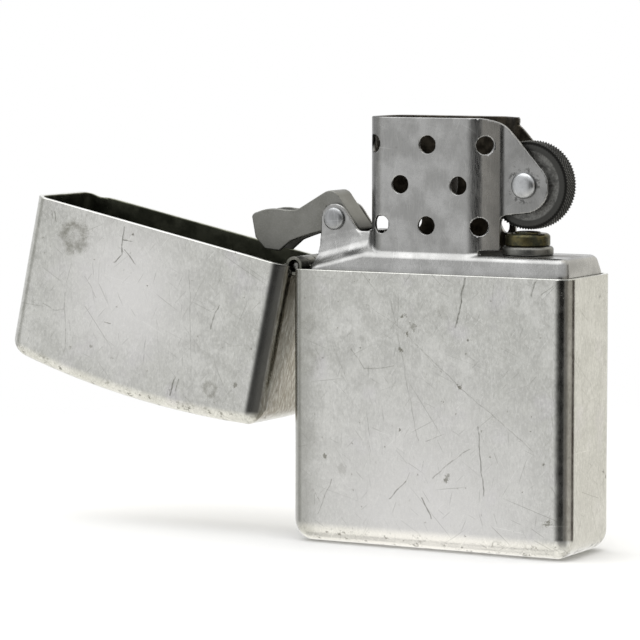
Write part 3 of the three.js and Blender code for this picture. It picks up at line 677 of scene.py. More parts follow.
def vent_holes(x, y, z):
    """Distance outside the nearest vent hole. A hole's place is measured along the flattened sheet."""
    v = np.abs(y)
    flat_start = GUARD_LEFT + GUARD_LEFT_RADIUS
    nearest_hole = np.inf
    for height, places in VENT_ROWS:
        for along in places:
            radius = GUARD_LEFT_RADIUS if along < flat_start else GUARD_BEND_RADIUS
            angle = (min(0, along - flat_start) + max(0, along - GUARD_FLAT_END)) / radius
            out = (math.sin(angle), math.cos(angle))
            centre = (min(max(along, flat_start), GUARD_FLAT_END), GUARD_FRONT - radius)
            u = (x - centre[0]) * out[1] - (v - centre[1]) * out[0]
            depth = (x - centre[0]) * out[0] + (v - centre[1]) * out[1]
            hole = np.hypot(u, z - height) - HOLE_RADIUS
            nearest_hole = np.minimum(nearest_hole, np.maximum(hole, radius - 1.2 - depth))
    return nearest_hole


def cam_ears(x, y, z):
    outline = tongue(x, z, (CAM[0], CAM[2]), *CAM_EAR)
    plate = span(np.abs(y), CAM_EAR_FACE - SHEET, CAM_EAR_FACE)
    return both(both(plate, outline, 0.1), flank_top(x) - 0.9 - z)


def bore(a, b, place, radius):
    return np.hypot(a - place[0], b - place[1]) - radius


def insert_holes(x, y, z):
    """The vents, the leaf spring's slot, and the holes for the rivets, the tube and the wick."""
    half_width, height = SPRING_SLOT
    slot = both(span(y, -half_width, half_width), span(z, RAMP_HIGH, RAMP_HIGH + height), 0.2)
    in_deck = [(TUBE_X, TUBE_HOLE), (WICK_X, WICK_HOLE), (SPRING_RIVET_X, SPRING_RIVET_BORE)]
    return [
        vent_holes(x, y, z),
        np.maximum(slot, span(x, GUARD_LEFT - 1, GUARD_LEFT + 1)),
        bore(x, z, (WHEEL[0], WHEEL[2]), WHEEL_BORE),
        bore(x, z, (CAM[0], CAM[2]), CAM_BORE),
        *(np.maximum(bore(x, y, (place, 0), radius), DECK - 2 - z) for place, radius in in_deck),
    ]


def insert_sheet(x, y, z):
    """All of the insert's pressed steel."""
    block = either(can(x, y, z), ridge(x, y, z), 1.6)
    middle, half = (CAN_LOW[0] + CAN_HIGH[0]) / 2, (CAN_HIGH[0] - CAN_LOW[0]) / 2
    block = np.maximum(block, rounded_rectangle(x - middle, y, half, CAN_HIGH[1], CAN_CORNER))
    in_ridge = np.maximum(ridge_side(x, y, z) + SHEET, x - GUARD_LEFT - SHEET)
    under_ramp = np.maximum(in_ridge, z - ramp_height(x) + SHEET * 1.14)
    under_ramp = np.maximum(under_ramp, np.maximum(CAN_LOW[0] + SHEET - x, SHOULDER - 1 - z))
    hollow = np.minimum(can(x, y, z) + SHEET, under_ramp)
    channel = np.maximum(in_ridge, ramp_height(x) - z)
    shell = both(both(block, -hollow), -channel, 0.08)
    shell = both(shell, CAN_LOW[2] - z, 0.1)
    face = guard_face(x, y)
    walls = both(np.maximum(face, -(face + SHEET)), guard_outline(x, y, z), 0.1)
    walls = np.maximum(walls, DECK - 0.3 - z)
    solid = either(shell, walls, 0.45)
    solid = either(solid, cam_ears(x, y, z), 0.35)
    for hole in insert_holes(x, y, z):
        solid = both(solid, -hole, 0.1)
    return solid


def guard_soot_and_ear_shade(x, y, z):
    """1 on the faces inside the windguard, which are burnt, and nearly so between the cam's ears, where the
    burnt tone is painted shade.
    """
    guard = smooth_step(-guard_face(x, y), 0.2, 0.43) * smooth_step(z, DECK - 0.1, DECK + 0.1)
    between_ears = smooth_step(CAM_EAR_FACE - 0.2 - np.abs(y), 0, 0.15)
    return np.maximum(guard, 0.8 * between_ears * (x < GUARD_LEFT) * (z > SHOULDER - 1))


def insert_shell(material):
    grid = (
        grid_lines(CAN_LOW[0] - 0.4, CAN_HIGH[0] + 0.4, 0.17, 0.21, (-17.4, -8.5)),
        grid_lines(-CAN_HIGH[1] - 0.4, CAN_HIGH[1] + 0.4, 0.17, 0.17),
        grid_lines(CAN_LOW[2] - 0.4, GUARD_TOP + 0.4, 0.19, 1.6, (0, CAN_LOW[2] + 0.5), (33.2, 60)),
    )
    add_solid("insert_pressing", insert_sheet, grid, material, marks={"inside": guard_soot_and_ear_shade})


# ---- cam, wheel and rivets

# The cam seen from the front, clockwise from its upper left corner: X and Z places, and curves, each
# given by the place it is pulled to, its end and its steps.
CAM_OUTLINE = [
    (-27.0, 40.0),
    ((-26.8, 40.5), (-26.2, 40.6), 8),
    ((-24.6, 41.25), (-22.9, 41.05), 8),
    ((-21.2, 40.85), (-20.3, 41.15), 8),
    (-16.8, 43.2),
    ((-15.3, 44.1), (-14.5, 42.7), 8),
    (-11.75, 39.1),
    ((-11.6, 38.5), (-12.3, 38.5), 4),
    (-16.4, 38.6),
    ((-19.4, 37.9), (-21.5, 37.0), 8),
    (-23.0, 35.75),
    (-25.1, 35.95),
    (-26.5, 37.4),
]
CAM_HOLLOW = [
    (-20.2, 34), (-20.2, 40.75), (-16.6, 42.8), (-15.2, 43.1), (-14.75, 42.35), (-12.25, 39), (-12.25, 34),
]
CAM_WEB_END = -20.1  # from here to the cam's tip, only its two side plates are left


def path_points(path):
    """Places along a path, with the curves in it drawn as short lines."""
    places = []
    for part in path:
        if len(part) == 2:
            places.append(part)
            continue
        points, steps = (places[-1], *part[:2]), part[2]
        for t in (i / steps for i in range(1, steps + 1)):
            weights = ((1 - t) ** 2, 2 * t * (1 - t), t * t)
            places.append(tuple(sum(w * p[k] for w, p in zip(weights, points)) for k in (0, 1)))
    return places


def cam_lever(material):
    outline = path_points(CAM_OUTLINE)
    half = 1.9
    sheet = 0.4

    def solid(x, y, z):
        block = both(polygon(x, z, outline) + 0.01, np.abs(y) - half + 0.01, 0.16)
        hollow = either(polygon(x, z, CAM_HOLLOW), x - CAM_WEB_END)
        between = np.maximum(np.abs(y) - half + sheet, hollow)
        return both(both(block, -between, 0.08), -bore(x, z, (CAM[0], CAM[2]), CAM_BORE), 0.06)

    add_solid("cam_channel", solid, box_grid("cam_lever", 0.25, 0.11), material)


def cam_spring(material):
    def solid(x, y, z):
        path = [(-12.0, 37.75), (-10.3, 38.7), (-8.6, 38.7), (-6.6, 36.51), (-3.6, 36.51)]
        leaf = np.inf
        for start, end in zip(path, path[1:]):
            leaf = np.minimum(leaf, np.abs(side_of_segment(x, z, start, end)))
        blade = both(leaf - 0.14, np.abs(y) - 1.38, 0.06)
        return both(blade, -bore(x, y, (SPRING_RIVET_X, 0), SPRING_RIVET_BORE), 0.04)

    add_solid("cam_leaf_spring", solid, box_grid("cam_spring", 0.25, 0.1), material)


def rivet(name, place, face, shank, head, height, material):
    """A rivet along Y, with a domed head on each side."""
    dome = [(head, face + 0.03), (head, face + 0.18)]
    for a in np.radians(range(8, 88, 8)):
        dome.append((head * math.cos(a) ** 0.7, face + 0.18 + (height - 0.15) * math.sin(a) ** 0.85))
    dome.append((0.02, face + 0.03 + height))
    half = [(shank, face + 0.03)] + dome
    profile = [(r, -y) for r, y in half][::-1] + half
    add_turned(name, profile, (place[0], 0, place[2]), "y", material, 0.05, 72)


def flint_wheel(material):
    """A wheel with a diamond-cut tread between bevelled edges, and a smooth ring on each side."""
    teeth = 88
    half = 1.25
    depth = 0.24
    angles = circle(6 * teeth)
    side = [(0.88, 1.44), (0.96, 1.5), (2.55, 1.5), (2.66, 1.47), (2.86, 1.31), (2.98, 1.28)]
    side += [(4.05, 1.28), (4.2, 1.31), (4.62, 1.32), (4.78, 1.3)]
    rings = [(r, -y, 0) for r, y in side]
    rings += [(WHEEL_RADIUS, y, 1) for y in np.linspace(-half, half, 37)]
    rings += [(r, y, 0) for r, y in side[::-1]]
    points = []
    tread = []
    for r, y, cut in rings:
        turn = teeth * angles / (2 * np.pi)
        ridges = [1 - np.abs(2 * ((turn + lean * y / 0.6) % 1) - 1) for lean in (1, -1)]
        height = np.minimum(*ridges)
        radius = r - cut * depth * (1 - height)
        x, z = WHEEL[0] + radius * np.sin(angles), WHEEL[2] + radius * np.cos(angles)
        points.append(np.stack([x, y + 0 * angles, z], 1))
        tread.append(np.where(cut, 0.3 + 0.7 * height, 0 * angles))
    faces = skin(len(rings), len(angles), closed=True)
    marks = {"tread": np.concatenate(tread)}
    piece = add_piece("striker_wheel", np.concatenate(points), faces, material, marks=marks)
    piece.data.set_sharp_from_angle(angle=math.radians(28))


# ---- flint tube, and what feeds the flint


def tube_ring(name, inner, outer, edge, material):
    low, high = (corner[2] for corner in corners(REPLACED[name]))
    profile = [(inner, low), (outer, low), (outer, high - edge), (outer - edge, high), (inner, high)]
    add_turned(name, profile, (TUBE_X, 0, 0), "z", material, 0.16, closed=True)


def flint_stone(material):
    top = 39.19

    def solid(x, y, z):
        rod = both(bore(x, y, (TUBE_X, 0), 1.14), span(z, corners("flint")[0][2], top), 0.08)
        return both(rod, WHEEL_RADIUS + 0.09 - np.hypot(x - WHEEL[0], z - WHEEL[2]), 0.05)

    add_solid("flint_rod", solid, box_grid("flint", 0.2, 0.09), material)


def plunger(material):
    bottom, top = (corner[2] for corner in corners("plunger"))
    stem, head, shoulder = 0.48, 1.14, top - 1.4
    profile = [(0.02, bottom), (stem, bottom), (stem, shoulder), (head, shoulder)]
    profile += [(head, top - 0.3), (head - 0.3, top), (0.02, top)]
    add_turned("flint_pusher", profile, (TUBE_X, 0, 0), "z", material, 0.06)


def flint_screw(material):
    low, high = corners("flint_screw")
    head_radius, head_height = 2.29, 1.1
    stem_radius, thread_pitch = 1.12, 0.45
    slot_width, slot_depth = 0.6, 0.6

    def solid(x, y, z):
        radius = np.hypot(x - TUBE_X, y)
        head = both(radius - head_radius, span(z, low[2], low[2] + head_height), 0.2)
        ribs = 0.03 * np.cos(2 * np.pi * z / thread_pitch)
        stem = both(radius - stem_radius - ribs, span(z, low[2], high[2] - 0.01), 0.12)
        slot = np.maximum(np.abs(y) - slot_width / 2, z - low[2] - slot_depth)
        return both(either(head, stem, 0.05), -slot, 0.05)

    across = grid_lines(-2.6, 2.6, 0.1, 0.1)
    grid = (across + TUBE_X, across, grid_lines(low[2] - 0.2, high[2] + 0.2, 0.09, 0.09))
    add_solid("spring_screw", solid, grid, material)


def flint_spring(material):
    """The coil between the screw and the plunger, with closed ends."""
    low, high = corners("flint_spring")
    wire = 0.2
    turns = 11
    per_turn = 24
    sides = 10
    closed_turn = 0.46
    radius = (high[0] - low[0]) / 2 - wire
    length = high[2] - low[2] - 2 * wire
    steps = np.arange(turns * per_turn + 1) / per_turn
    climb = np.interp(steps, (0, 1, turns - 1, turns), (0, closed_turn, length - closed_turn, length))
    angle = (2 * np.pi * steps)[:, None]
    round_wire = -circle(sides)
    out = radius + wire * np.cos(round_wire)
    z = low[2] + wire + climb[:, None] + wire * np.sin(round_wire)
    points = np.stack([TUBE_X + out * np.cos(angle), out * np.sin(angle), z], 2).reshape(-1, 3)
    piece = add_piece("flint_coil", points, skin(len(steps), sides), material)
    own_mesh(piece)


# ---- wick, packing and felt


def wick(material):
    """Three twisted strands of cotton with a frayed, singed tip."""
    radius = (WICK_HIGH[0] - WICK_LOW[0]) / 2
    hidden = np.linspace(WICK_LOW[2] + 0.02, 34, 60)
    heights = np.concatenate([hidden, np.linspace(34.2, WICK_HIGH[2] - 0.02, 110)])
    angles = circle(72)
    points = []
    for z in heights:
        phase = 1.5 * (angles - 0.9 * z)
        strands = 0.84 + 0.16 * np.abs(np.cos(phase)) ** 0.7
        threads = 0.02 * np.cos(17 * (angles + 0.55 * z))
        close = np.clip((WICK_HIGH[2] - z) / 0.7, 0, 1) ** 0.5
        frayed = 1 - 0.1 * (1 - close) * np.cos(7 * angles + 3 * z)
        r = (radius - 0.03) * (strands + threads) * (0.25 + 0.75 * close) * frayed
        points.append(np.stack([WICK_X + r * np.cos(angles), r * np.sin(angles), z + 0 * angles], 1))
    faces = skin(len(heights), len(angles))
    add_piece("twisted_wick", np.concatenate(points), faces, material)


def filling(name, holes, rough, material):
    """A layer that fills the can, with an uneven, fibrous face."""
    low, high = corners(REPLACED[name])
    middle = (low + high) / 2
    half = (high - low) / 2

    def solid(x, y, z):
        lumps = rough * (1.3 + ripple(x, y, z, 2.6) + 0.3 * np.sin(7 * x + 3 * y) * np.sin(6 * y - 4 * x))
        block = rounded_rectangle(x - middle[0], y, half[0] - 0.02, half[1] - 0.02, 1.2)
        layer = both(block, np.abs(z - middle[2]) - half[2] + lumps, 0.3)
        for place, radius in holes:
            layer = both(layer, radius - np.hypot(x - place, y), 0.15)
        return layer

    faces = [(low[2] - 1, low[2] + 0.9), (high[2] - 0.9, high[2] + 1)]
    grid = box_grid(REPLACED[name], 0.4, 0.3)
    grid[2] = grid_lines(low[2] - 0.3, high[2] + 0.3, 0.2, 1.0, *faces)
    add_solid(name, solid, grid, material)


def fillings(cotton, felt):
    tube = (TUBE_X, 1.9)
    strand = (WICK_X, 1.6)
    for i in range(1, 5):
        filling(f"cotton_{i}", [tube, strand], 0.04, cotton)
    filling("felt_base", [(TUBE_X, 2.6)], 0.02, felt)


# ---- materials


class Graph:
    """One material's nodes, with short names for the kinds used here. Its point is in millimetres.

    Each node is made after the ones that feed it: made before them, it holds up the rest, and a shader
    whose values wait together in too great a number renders black.
    """

    def __init__(self, tree, output):
        self.tree = tree
        tree.nodes.clear()
        self.end = tree.nodes.new(output)

    def node(self, kind, *values, out=0, **settings):
        made = self.tree.nodes.new(kind)
        for key, value in settings.items():
            setattr(made, key, value)
        for socket, value in zip(made.inputs, values):
            self.feed(socket, value)
        return made.outputs[out]

    def feed(self, socket, value):
        if isinstance(value, bpy.types.NodeSocket):
            self.tree.links.new(value, socket)
        elif value is not None:
            socket.default_value = value

    def math(self, operation, a, b=None, c=None):
        return self.node("ShaderNodeMath", a, b, c, operation=operation)

    def add(self, a, b):
        return self.math("ADD", a, b)

    def minus(self, a, b):
        return self.math("SUBTRACT", a, b)

    def times(self, a, b):
        return self.math("MULTIPLY", a, b)

    def size(self, a):
        return self.math("ABSOLUTE", a)

    def most(self, values):
        """The largest of several values, each taken as it is made: a shader can hold only so many at once."""
        total = None
        for value in values:
            total = value if total is None else self.math("MAXIMUM", total, value)
        return total

    def vector(self, operation, a, b=None):
        out = "Value" if operation in ("DOT_PRODUCT", "DISTANCE", "LENGTH") else "Vector"
        return self.node("ShaderNodeVectorMath", a, b, operation=operation, out=out)

    def object_point(self):
        place = self.node("ShaderNodeTexCoord", out="Object")
        return self.vector("MULTIPLY", place, (1000, 1000, 1000))

    def between(self, value, low, high, start=0.0, end=1.0):
        """Goes smoothly from start to end while value goes from low to high."""
        return self.node("ShaderNodeMapRange", value, low, high, start, end, interpolation_type="SMOOTHSTEP")

    def fade(self, value, low, high):
        """Goes smoothly from 1 to 0 while value goes from low to high."""
        return self.between(value, low, high, 1.0, 0.0)

    def mix(self, amount, a, b, blend="MIX"):
        made = self.tree.nodes.new("ShaderNodeMix")
        made.data_type = "RGBA"
        made.blend_type = blend
        self.feed(made.inputs[0], amount)
        for socket, value in ((made.inputs[6], a), (made.inputs[7], b)):
            self.feed(socket, (*value, 1) if isinstance(value, tuple) else value)
        return made.outputs[2]

    def layers(self, colour, *layers):
        """Tones laid over a colour, each with its amount."""
        for amount, tone in layers:
            colour = self.mix(amount, colour, tone)
        return colour

    def stretched(self, point, scales, turn=(0.0, 0.0, 0.0)):
        turned = self.node("ShaderNodeMapping", point, None, tuple(math.radians(a) for a in turn))
        return self.vector("MULTIPLY", turned, scales)

    def noise(self, point, scale, detail=3.0, roughness=0.55):
        return self.node("ShaderNodeTexNoise", point, None, scale, detail, roughness, out="Fac")

    def mark(self, name):
        return self.node("ShaderNodeAttribute", out="Fac", attribute_name=name)

    def axis(self, point, index):
        return self.node("ShaderNodeSeparateXYZ", point, out=index)

    def away(self, point, x, z):
        """Distance from a place, seen from the front."""
        return self.vector("DISTANCE", self.vector("MULTIPLY", point, (1, 0, 1)), (x, 0, z))

    def cells(self, point, pitch, dimensions="3D"):
        made = self.tree.nodes.new("ShaderNodeTexVoronoi")
        made.voronoi_dimensions = dimensions
        self.feed(made.inputs["Vector"], point)
        self.feed(made.inputs["Scale"], 1 / pitch)
        return made.outputs


def new_material(name):
    material = bpy.data.materials.new(name)
    material.use_nodes = True
    return material, Graph(material.node_tree, "ShaderNodeOutputMaterial")


def principled(g, colour, metallic, roughness, bump=None, **sockets):
    shader = g.tree.nodes.new("ShaderNodeBsdfPrincipled")
    g.feed(shader.inputs["Base Color"], (*colour, 1) if isinstance(colour, tuple) else colour)
    g.feed(shader.inputs["Metallic"], metallic)
    g.feed(shader.inputs["Roughness"], roughness)
    for name, value in sockets.items():
        g.feed(shader.inputs[name.replace("_", " ")], value)
    if bump is not None:
        g.feed(shader.inputs["Normal"], bump)
    g.tree.links.new(shader.outputs[0], g.end.inputs[0])


def bump(g, height, depth):
    """A bump whose height of 1 stands for depth millimetres."""
    made = g.tree.nodes.new("ShaderNodeBump")
    for name, value in (("Strength", 1.0), ("Distance", depth * MM), ("Height", height)):
        g.feed(made.inputs[name], value)
    return made.outputs[0]


def hairs(g, point, turn, spread, pitch, width, share):
    """Thin straight scratches: at most one in each cell of a pitch, within spread degrees of an angle."""
    u = g.add(g.axis(point, 0), g.axis(point, 1))
    flat = g.node("ShaderNodeCombineXYZ", u, g.axis(point, 2), 0.0)
    cells = g.cells(flat, pitch, "2D")
    away = g.vector("SUBTRACT", flat, cells["Position"])
    chance = [g.axis(cells["Color"], k) for k in range(3)]
    angle = g.between(chance[0], 0, 1, math.radians(turn - spread), math.radians(turn + spread))
    c, s = g.math("COSINE", angle), g.math("SINE", angle)
    along = g.vector("DOT_PRODUCT", away, g.node("ShaderNodeCombineXYZ", c, s, 0.0))
    across = g.vector("DOT_PRODUCT", away, g.node("ShaderNodeCombineXYZ", s, g.times(c, -1.0), 0.0))
    line = g.fade(g.size(across), 0.25 * width, width)
    ends = g.fade(g.size(along), 0.15 * pitch, 0.6 * pitch)
    kept = g.math("GREATER_THAN", chance[1], 1 - share)
    strength = g.times(kept, g.between(chance[2], 0, 1, 0.25, 1.0))
    return g.times(g.times(line, ends), strength)


def pits(g, point, pitch, radius, share):
    """Small ragged marks, on a share of the cells of a pitch."""
    cells = g.cells(point, pitch)
    ragged = g.between(g.noise(point, 1.2 / radius, 3.0, 0.7), 0.3, 0.7, 0.3, 1.9)
    away = g.times(cells["Distance"], ragged)
    dot = g.fade(away, 0.5 * radius / pitch, radius / pitch)
    return g.times(dot, g.math("GREATER_THAN", g.axis(cells["Color"], 0), 1 - share))


def stroke_group():
    """A node group: 1 along a straight stroke between two points, 0 away from it."""
    tree = bpy.data.node_groups.new("stroke", "ShaderNodeTree")
    for name, kind in (("Point", "Vector"), ("Start", "Vector"), ("End", "Vector"), ("Width", "Float")):
        tree.interface.new_socket(name, in_out="INPUT", socket_type=f"NodeSocket{kind}")
    tree.interface.new_socket("Mask", in_out="OUTPUT", socket_type="NodeSocketFloat")
    g = Graph(tree, "NodeGroupOutput")
    point, start, end, width = list(tree.nodes.new("NodeGroupInput").outputs)[:4]
    reach = g.vector("SUBTRACT", end, start)
    away = g.vector("SUBTRACT", point, start)
    share = g.math("DIVIDE", g.vector("DOT_PRODUCT", away, reach), g.vector("DOT_PRODUCT", reach, reach))
    share = g.node("ShaderNodeClamp", share)
    foot = g.vector("SCALE", reach)
    g.feed(foot.node.inputs["Scale"], share)
    distance = g.vector("LENGTH", g.vector("SUBTRACT", away, foot))
    g.feed(g.end.inputs[0], g.fade(distance, g.times(width, 0.3), width))
    return tree


STROKE = stroke_group()


def strokes(g, point, lines):
    """The placed scratches: each line is its width, its strength, and the X and Z places that it joins."""
    wander = g.node("ShaderNodeTexNoise", point, None, 0.45, 2.0, out="Color")
    shift = g.vector("MULTIPLY", g.vector("SUBTRACT", wander, (0.5, 0.5, 0.5)), (0.7, 0, 0.7))
    flat = g.vector("MULTIPLY", g.vector("ADD", point, shift), (1, 0, 1))
    for width, strength, *places in lines:
        for (x0, z0), (x1, z1) in zip(places, places[1:]):
            made = g.tree.nodes.new("ShaderNodeGroup")
            made.node_tree = STROKE
            for socket, value in zip(made.inputs, (flat, (x0, 0, z0), (x1, 0, z1), width)):
                g.feed(socket, value)
            yield g.times(made.outputs[0], strength)


def stains(g, point, places):
    """Stains at X and Z places, the large ones darker towards their edges: x, z, radius and strength."""
    broad = g.noise(point, 0.75, 5.0, 0.7)
    ragged = g.noise(point, 2.4, 5.0, 0.75)
    for x, z, radius, strength in places:
        small = radius < 1
        shift = g.minus(ragged if small else broad, 0.5)
        away = g.math("MULTIPLY_ADD", shift, 2.4 if small else 1.5 * radius, g.away(point, x, z))
        centre = strength if small else 0.3 * strength
        rim = g.between(away, 0.1 * radius, 0.8 * radius, centre, strength)
        rim = g.times(rim, 1.0 if small else g.between(ragged, 0.36, 0.6, 0.35, 1.0))
        yield g.times(rim, g.fade(away, 0.6 * radius, 1.25 * radius))


LID_STROKES = [
    (0.12, 1.0, (-43, 38.5), (-43.2, 36.8), (-41.8, 36.6)),
    (0.12, 1.0, (-43.2, 36.8), (-43.4, 35), (-44.5, 34)),
    (0.1, 0.8, (-43, 35.5), (-41.4, 33.8)),
    (0.11, 0.8, (-54, 40.3), (-53.7, 39.2)),
    (0.08, 0.7, (-53.5, 40.2), (-53.2, 38.8)),
    (0.08, 0.5, (-52, 29.8), (-52, 22.8), (-52.5, 21.5)),
    (0.08, 0.5, (-55.3, 28.2), (-53.5, 27.4), (-52, 27.5)),
    (0.1, 0.7, (-46, 26.3), (-45.2, 26)),
    (0.12, 0.8, (-29, 29), (-30.4, 26)),
    (0.13, 1.0, (-35.5, 19.7), (-36.3, 17.3)),
    (0.1, 0.9, (-34.9, 19.5), (-35.5, 17.8)),
    (0.08, 0.4, (-39.8, 24.7), (-40.3, 21)),
    (0.07, 0.4, (-33.4, 33.5), (-33.2, 22)),
    (0.07, 0.4, (-49, 32), (-47.2, 29.3)),
    (0.07, 0.35, (-31, 32.6), (-34.5, 27)),
]
LID_STAINS = [(-50.4, 37, 2.2, 1.0), (-26.8, 19, 0.25, 0.9), (-48.2, 23, 0.3, 0.6), (-30.4, 18.4, 1.1, 0.75)]
CASE_STROKES = [
    (0.13, 1.0, (5.2, 33.7), (4.7, 30.4), (4, 27.8)),
    (0.1, 0.8, (14.6, 33.5), (14.2, 31.9)),
    (0.08, 0.6, (17, 33.2), (15.4, 32.1)),
    (0.08, 0.45, (-1.2, 25.2), (4.6, 20.4), (11.7, 15.2), (14.4, 13.2)),
    (0.1, 0.8, (7, 15.8), (7.9, 7.4)),
    (0.1, 0.6, (6, 13), (3, 11), (1, 9.2)),
    (0.08, 0.5, (0, 13.5), (2.5, 14.6)),
    (0.11, 0.8, (-2.8, 8.6), (-5, 6.2)),
    (0.08, 0.6, (-13, 8.2), (-15, 3.6)),
    (0.08, 0.5, (-15.6, 6.6), (-14.8, 5.2)),
    (0.11, 0.8, (-0.6, 6.7), (0.8, 4.2)),
    (0.09, 0.5, (-10.3, 24.4), (-8.5, 22.1), (-4.4, 22.5)),
    (0.07, 0.4, (-1, 13.6), (-4.8, 30.5)),
    (0.07, 0.35, (-8, 30), (-2.6, 26.6), (1.5, 22.6)),
]
CASE_STAINS = [
    (-3, 28.8, 0.25, 1.0),
    (-2.6, 26.7, 0.2, 1.0),
    (-3.4, 24.6, 0.15, 1.0),
    (-1.8, 27.5, 0.35, 0.6),
    (4.6, 20.5, 0.2, 1.0),
    (-14, 10.9, 0.25, 0.9),
    (2.9, 9.5, 0.3, 0.7),
    (2.7, 8.9, 0.2, 0.9),
    (16.3, 4.7, 0.35, 0.9),
    (-16.3, 27.2, 1.2, 0.5),
    (-16.2, 22.5, 1.6, 0.35),
    (-11.6, 9.5, 0.7, 0.25),
    (2.3, 29.5, 0.9, 0.25),
]


# Kinds of fine marks on the case, by what hairs and pits take.
FRESH_HAIRS = [(85, 40, 2.3, 0.045, 0.75), (110, 70, 5.5, 0.05, 0.7)]
DARK_HAIRS = [(100, 60, 1.9, 0.045, 0.7), (60, 90, 4.3, 0.055, 0.6), (140, 25, 9.5, 0.06, 0.6)]
PITS = [(1.1, 0.1, 0.3), (3.2, 0.2, 0.35)]
CHIPS = [(0.8, 0.24, 0.45), (1.9, 0.5, 0.55)]


def plate(g, point, clouds, fine, grain, bright):
    """The mottled plate under the marks, with a painted glow: a place lightened to stand in for light falling
    there.
    """
    x, z, reach = bright
    away = g.vector("DISTANCE", point, (x, -HALF_DEPTH, z))
    away = g.add(away, g.times(clouds, 0.35 * reach))
    broad = g.between(g.noise(point, 0.14, 4.0, 0.6), 0.32, 0.68)
    colour = g.mix(broad, (0.47, 0.472, 0.442), (0.57, 0.57, 0.545))
    colour = g.mix(g.between(clouds, 0.36, 0.62), (0.43, 0.43, 0.405), colour)
    return g.layers(
        colour,
        (g.between(g.noise(point, 0.2, 2.0), 0.55, 0.75, 0, 0.35), (0.55, 0.53, 0.56)),
        (g.between(fine, 0.42, 0.68, 0, 0.42), (0.74, 0.74, 0.71)),
        (g.between(grain, 0.5, 0.74, 0, 0.36), (0.3, 0.3, 0.28)),
        # painted light: the plate is lighter round the glow's place
        (g.between(away, 0.2 * reach, 1.3 * reach, 0.75, 0.0), (0.71, 0.7, 0.69)),
    )


def case_metal(name, lines, spots, smudge, bright):
    """Worn satin plate: mottled, finely scratched and pitted, with dark scratches on its front, and painted
    light: a glow, a pale rim face, dark corner reflections and shade on the inner faces.

    smudge is the X where grey smudges end, and bright a painted glow, a place lightened to stand in for
    light: its X, its Z and its reach.
    """
    material, g = new_material(name)
    point = g.object_point()
    clouds = g.noise(point, 0.55, 5.0, 0.68)
    fine = g.noise(g.stretched(point, (3.6, 3.6, 2.2)), 1.0, 5.0, 0.75)
    grain = g.noise(g.stretched(point, (4.5, 4.5, 1.3)), 1.0, 3.0, 0.65)
    front = g.fade(g.axis(point, 1), 0.3 - HALF_DEPTH, 0.9 - HALF_DEPTH)
    fresh = g.most(hairs(g, point, *kind) for kind in FRESH_HAIRS)
    dark = g.most(hairs(g, point, *kind) for kind in DARK_HAIRS)
    dots = g.most(pits(g, point, *kind) for kind in PITS)
    chips = g.most(pits(g, point, *kind) for kind in CHIPS)
    dots = g.most([dots, g.times(chips, g.mark("edge"))])
    placed = g.times(g.most(strokes(g, point, lines)), front)
    uneven = g.between(g.noise(point, 1.4, 3.0), 0.32, 0.6, 0.3, 1.0)
    spoiled = g.times(g.most(stains(g, point, spots)), front)
    colour = g.layers(
        plate(g, point, clouds, fine, grain, bright),
        (g.times(fresh, 0.42), (0.8, 0.8, 0.78)),
        (g.times(dark, 0.48), (0.2, 0.2, 0.18)),
        (g.times(dots, 0.75), (0.1, 0.095, 0.075)),
        (g.times(g.times(placed, uneven), 0.8), (0.12, 0.12, 0.1)),
        (g.times(spoiled, 0.75), (0.16, 0.155, 0.125)),
    )
    if smudge is not None:
        place = g.add(g.axis(point, 0), g.times(g.noise(point, 0.5, 5.0, 0.7), 4.0))
        grey = g.times(g.between(place, smudge, smudge + 3.5, 0.6, 0.0), front)
        colour = g.mix(grey, colour, (0.3, 0.3, 0.275))
    streaks = g.noise(g.stretched(point, (3, 3, 0.5)), 1.0, 4.0, 0.7)
    depth = g.mark("inside")
    rim = g.minus(1.0, g.size(g.math("MULTIPLY_ADD", depth, 2.0, -1.0)))
    inner = g.between(depth, 0.8, 0.96)
    inner_shade_mottle = g.between(g.noise(point, 0.45, 4.0), 0.35, 0.7)
    colour = g.layers(
        colour,
        # painted reflection: the case's wall, mirrored brownish in the lid's hinge wall
        (g.times(g.mark("lid_hinge_wall_reflection"), g.between(streaks, 0.3, 0.62, 0.25, 0.85)), (0.17, 0.15, 0.115)),
        # painted reflection: dark bands on the rounded upright corners
        (g.times(g.mark("corner"), 0.93), (0.045, 0.045, 0.042)),
        # painted highlight: the cut rim face, halfway through the wall, is painted pale
        (g.between(rim, 0.1, 0.5, 0, 0.85), (0.86, 0.86, 0.82)),
        # painted shade: the inner faces are painted nearly black, mottled
        (inner, g.mix(inner_shade_mottle, (0.06, 0.064, 0.046), (0.13, 0.135, 0.1))),
    )
    roughness = g.between(clouds, 0.3, 0.7, 0.17, 0.27)
    roughness = g.add(g.add(roughness, g.times(inner, 0.16)), g.times(spoiled, 0.2))
    height = g.math("MULTIPLY_ADD", fine, 0.12, g.times(grain, 0.05))
    height = g.minus(height, g.times(g.most([fresh, dark]), 0.25))
    height = g.minus(height, g.times(g.most([dots, placed]), 0.9))
    principled(g, colour, 1.0, roughness, bump(g, height, 0.012))
    return material


def scaled(colour, factor):
    return tuple(factor * c for c in colour)


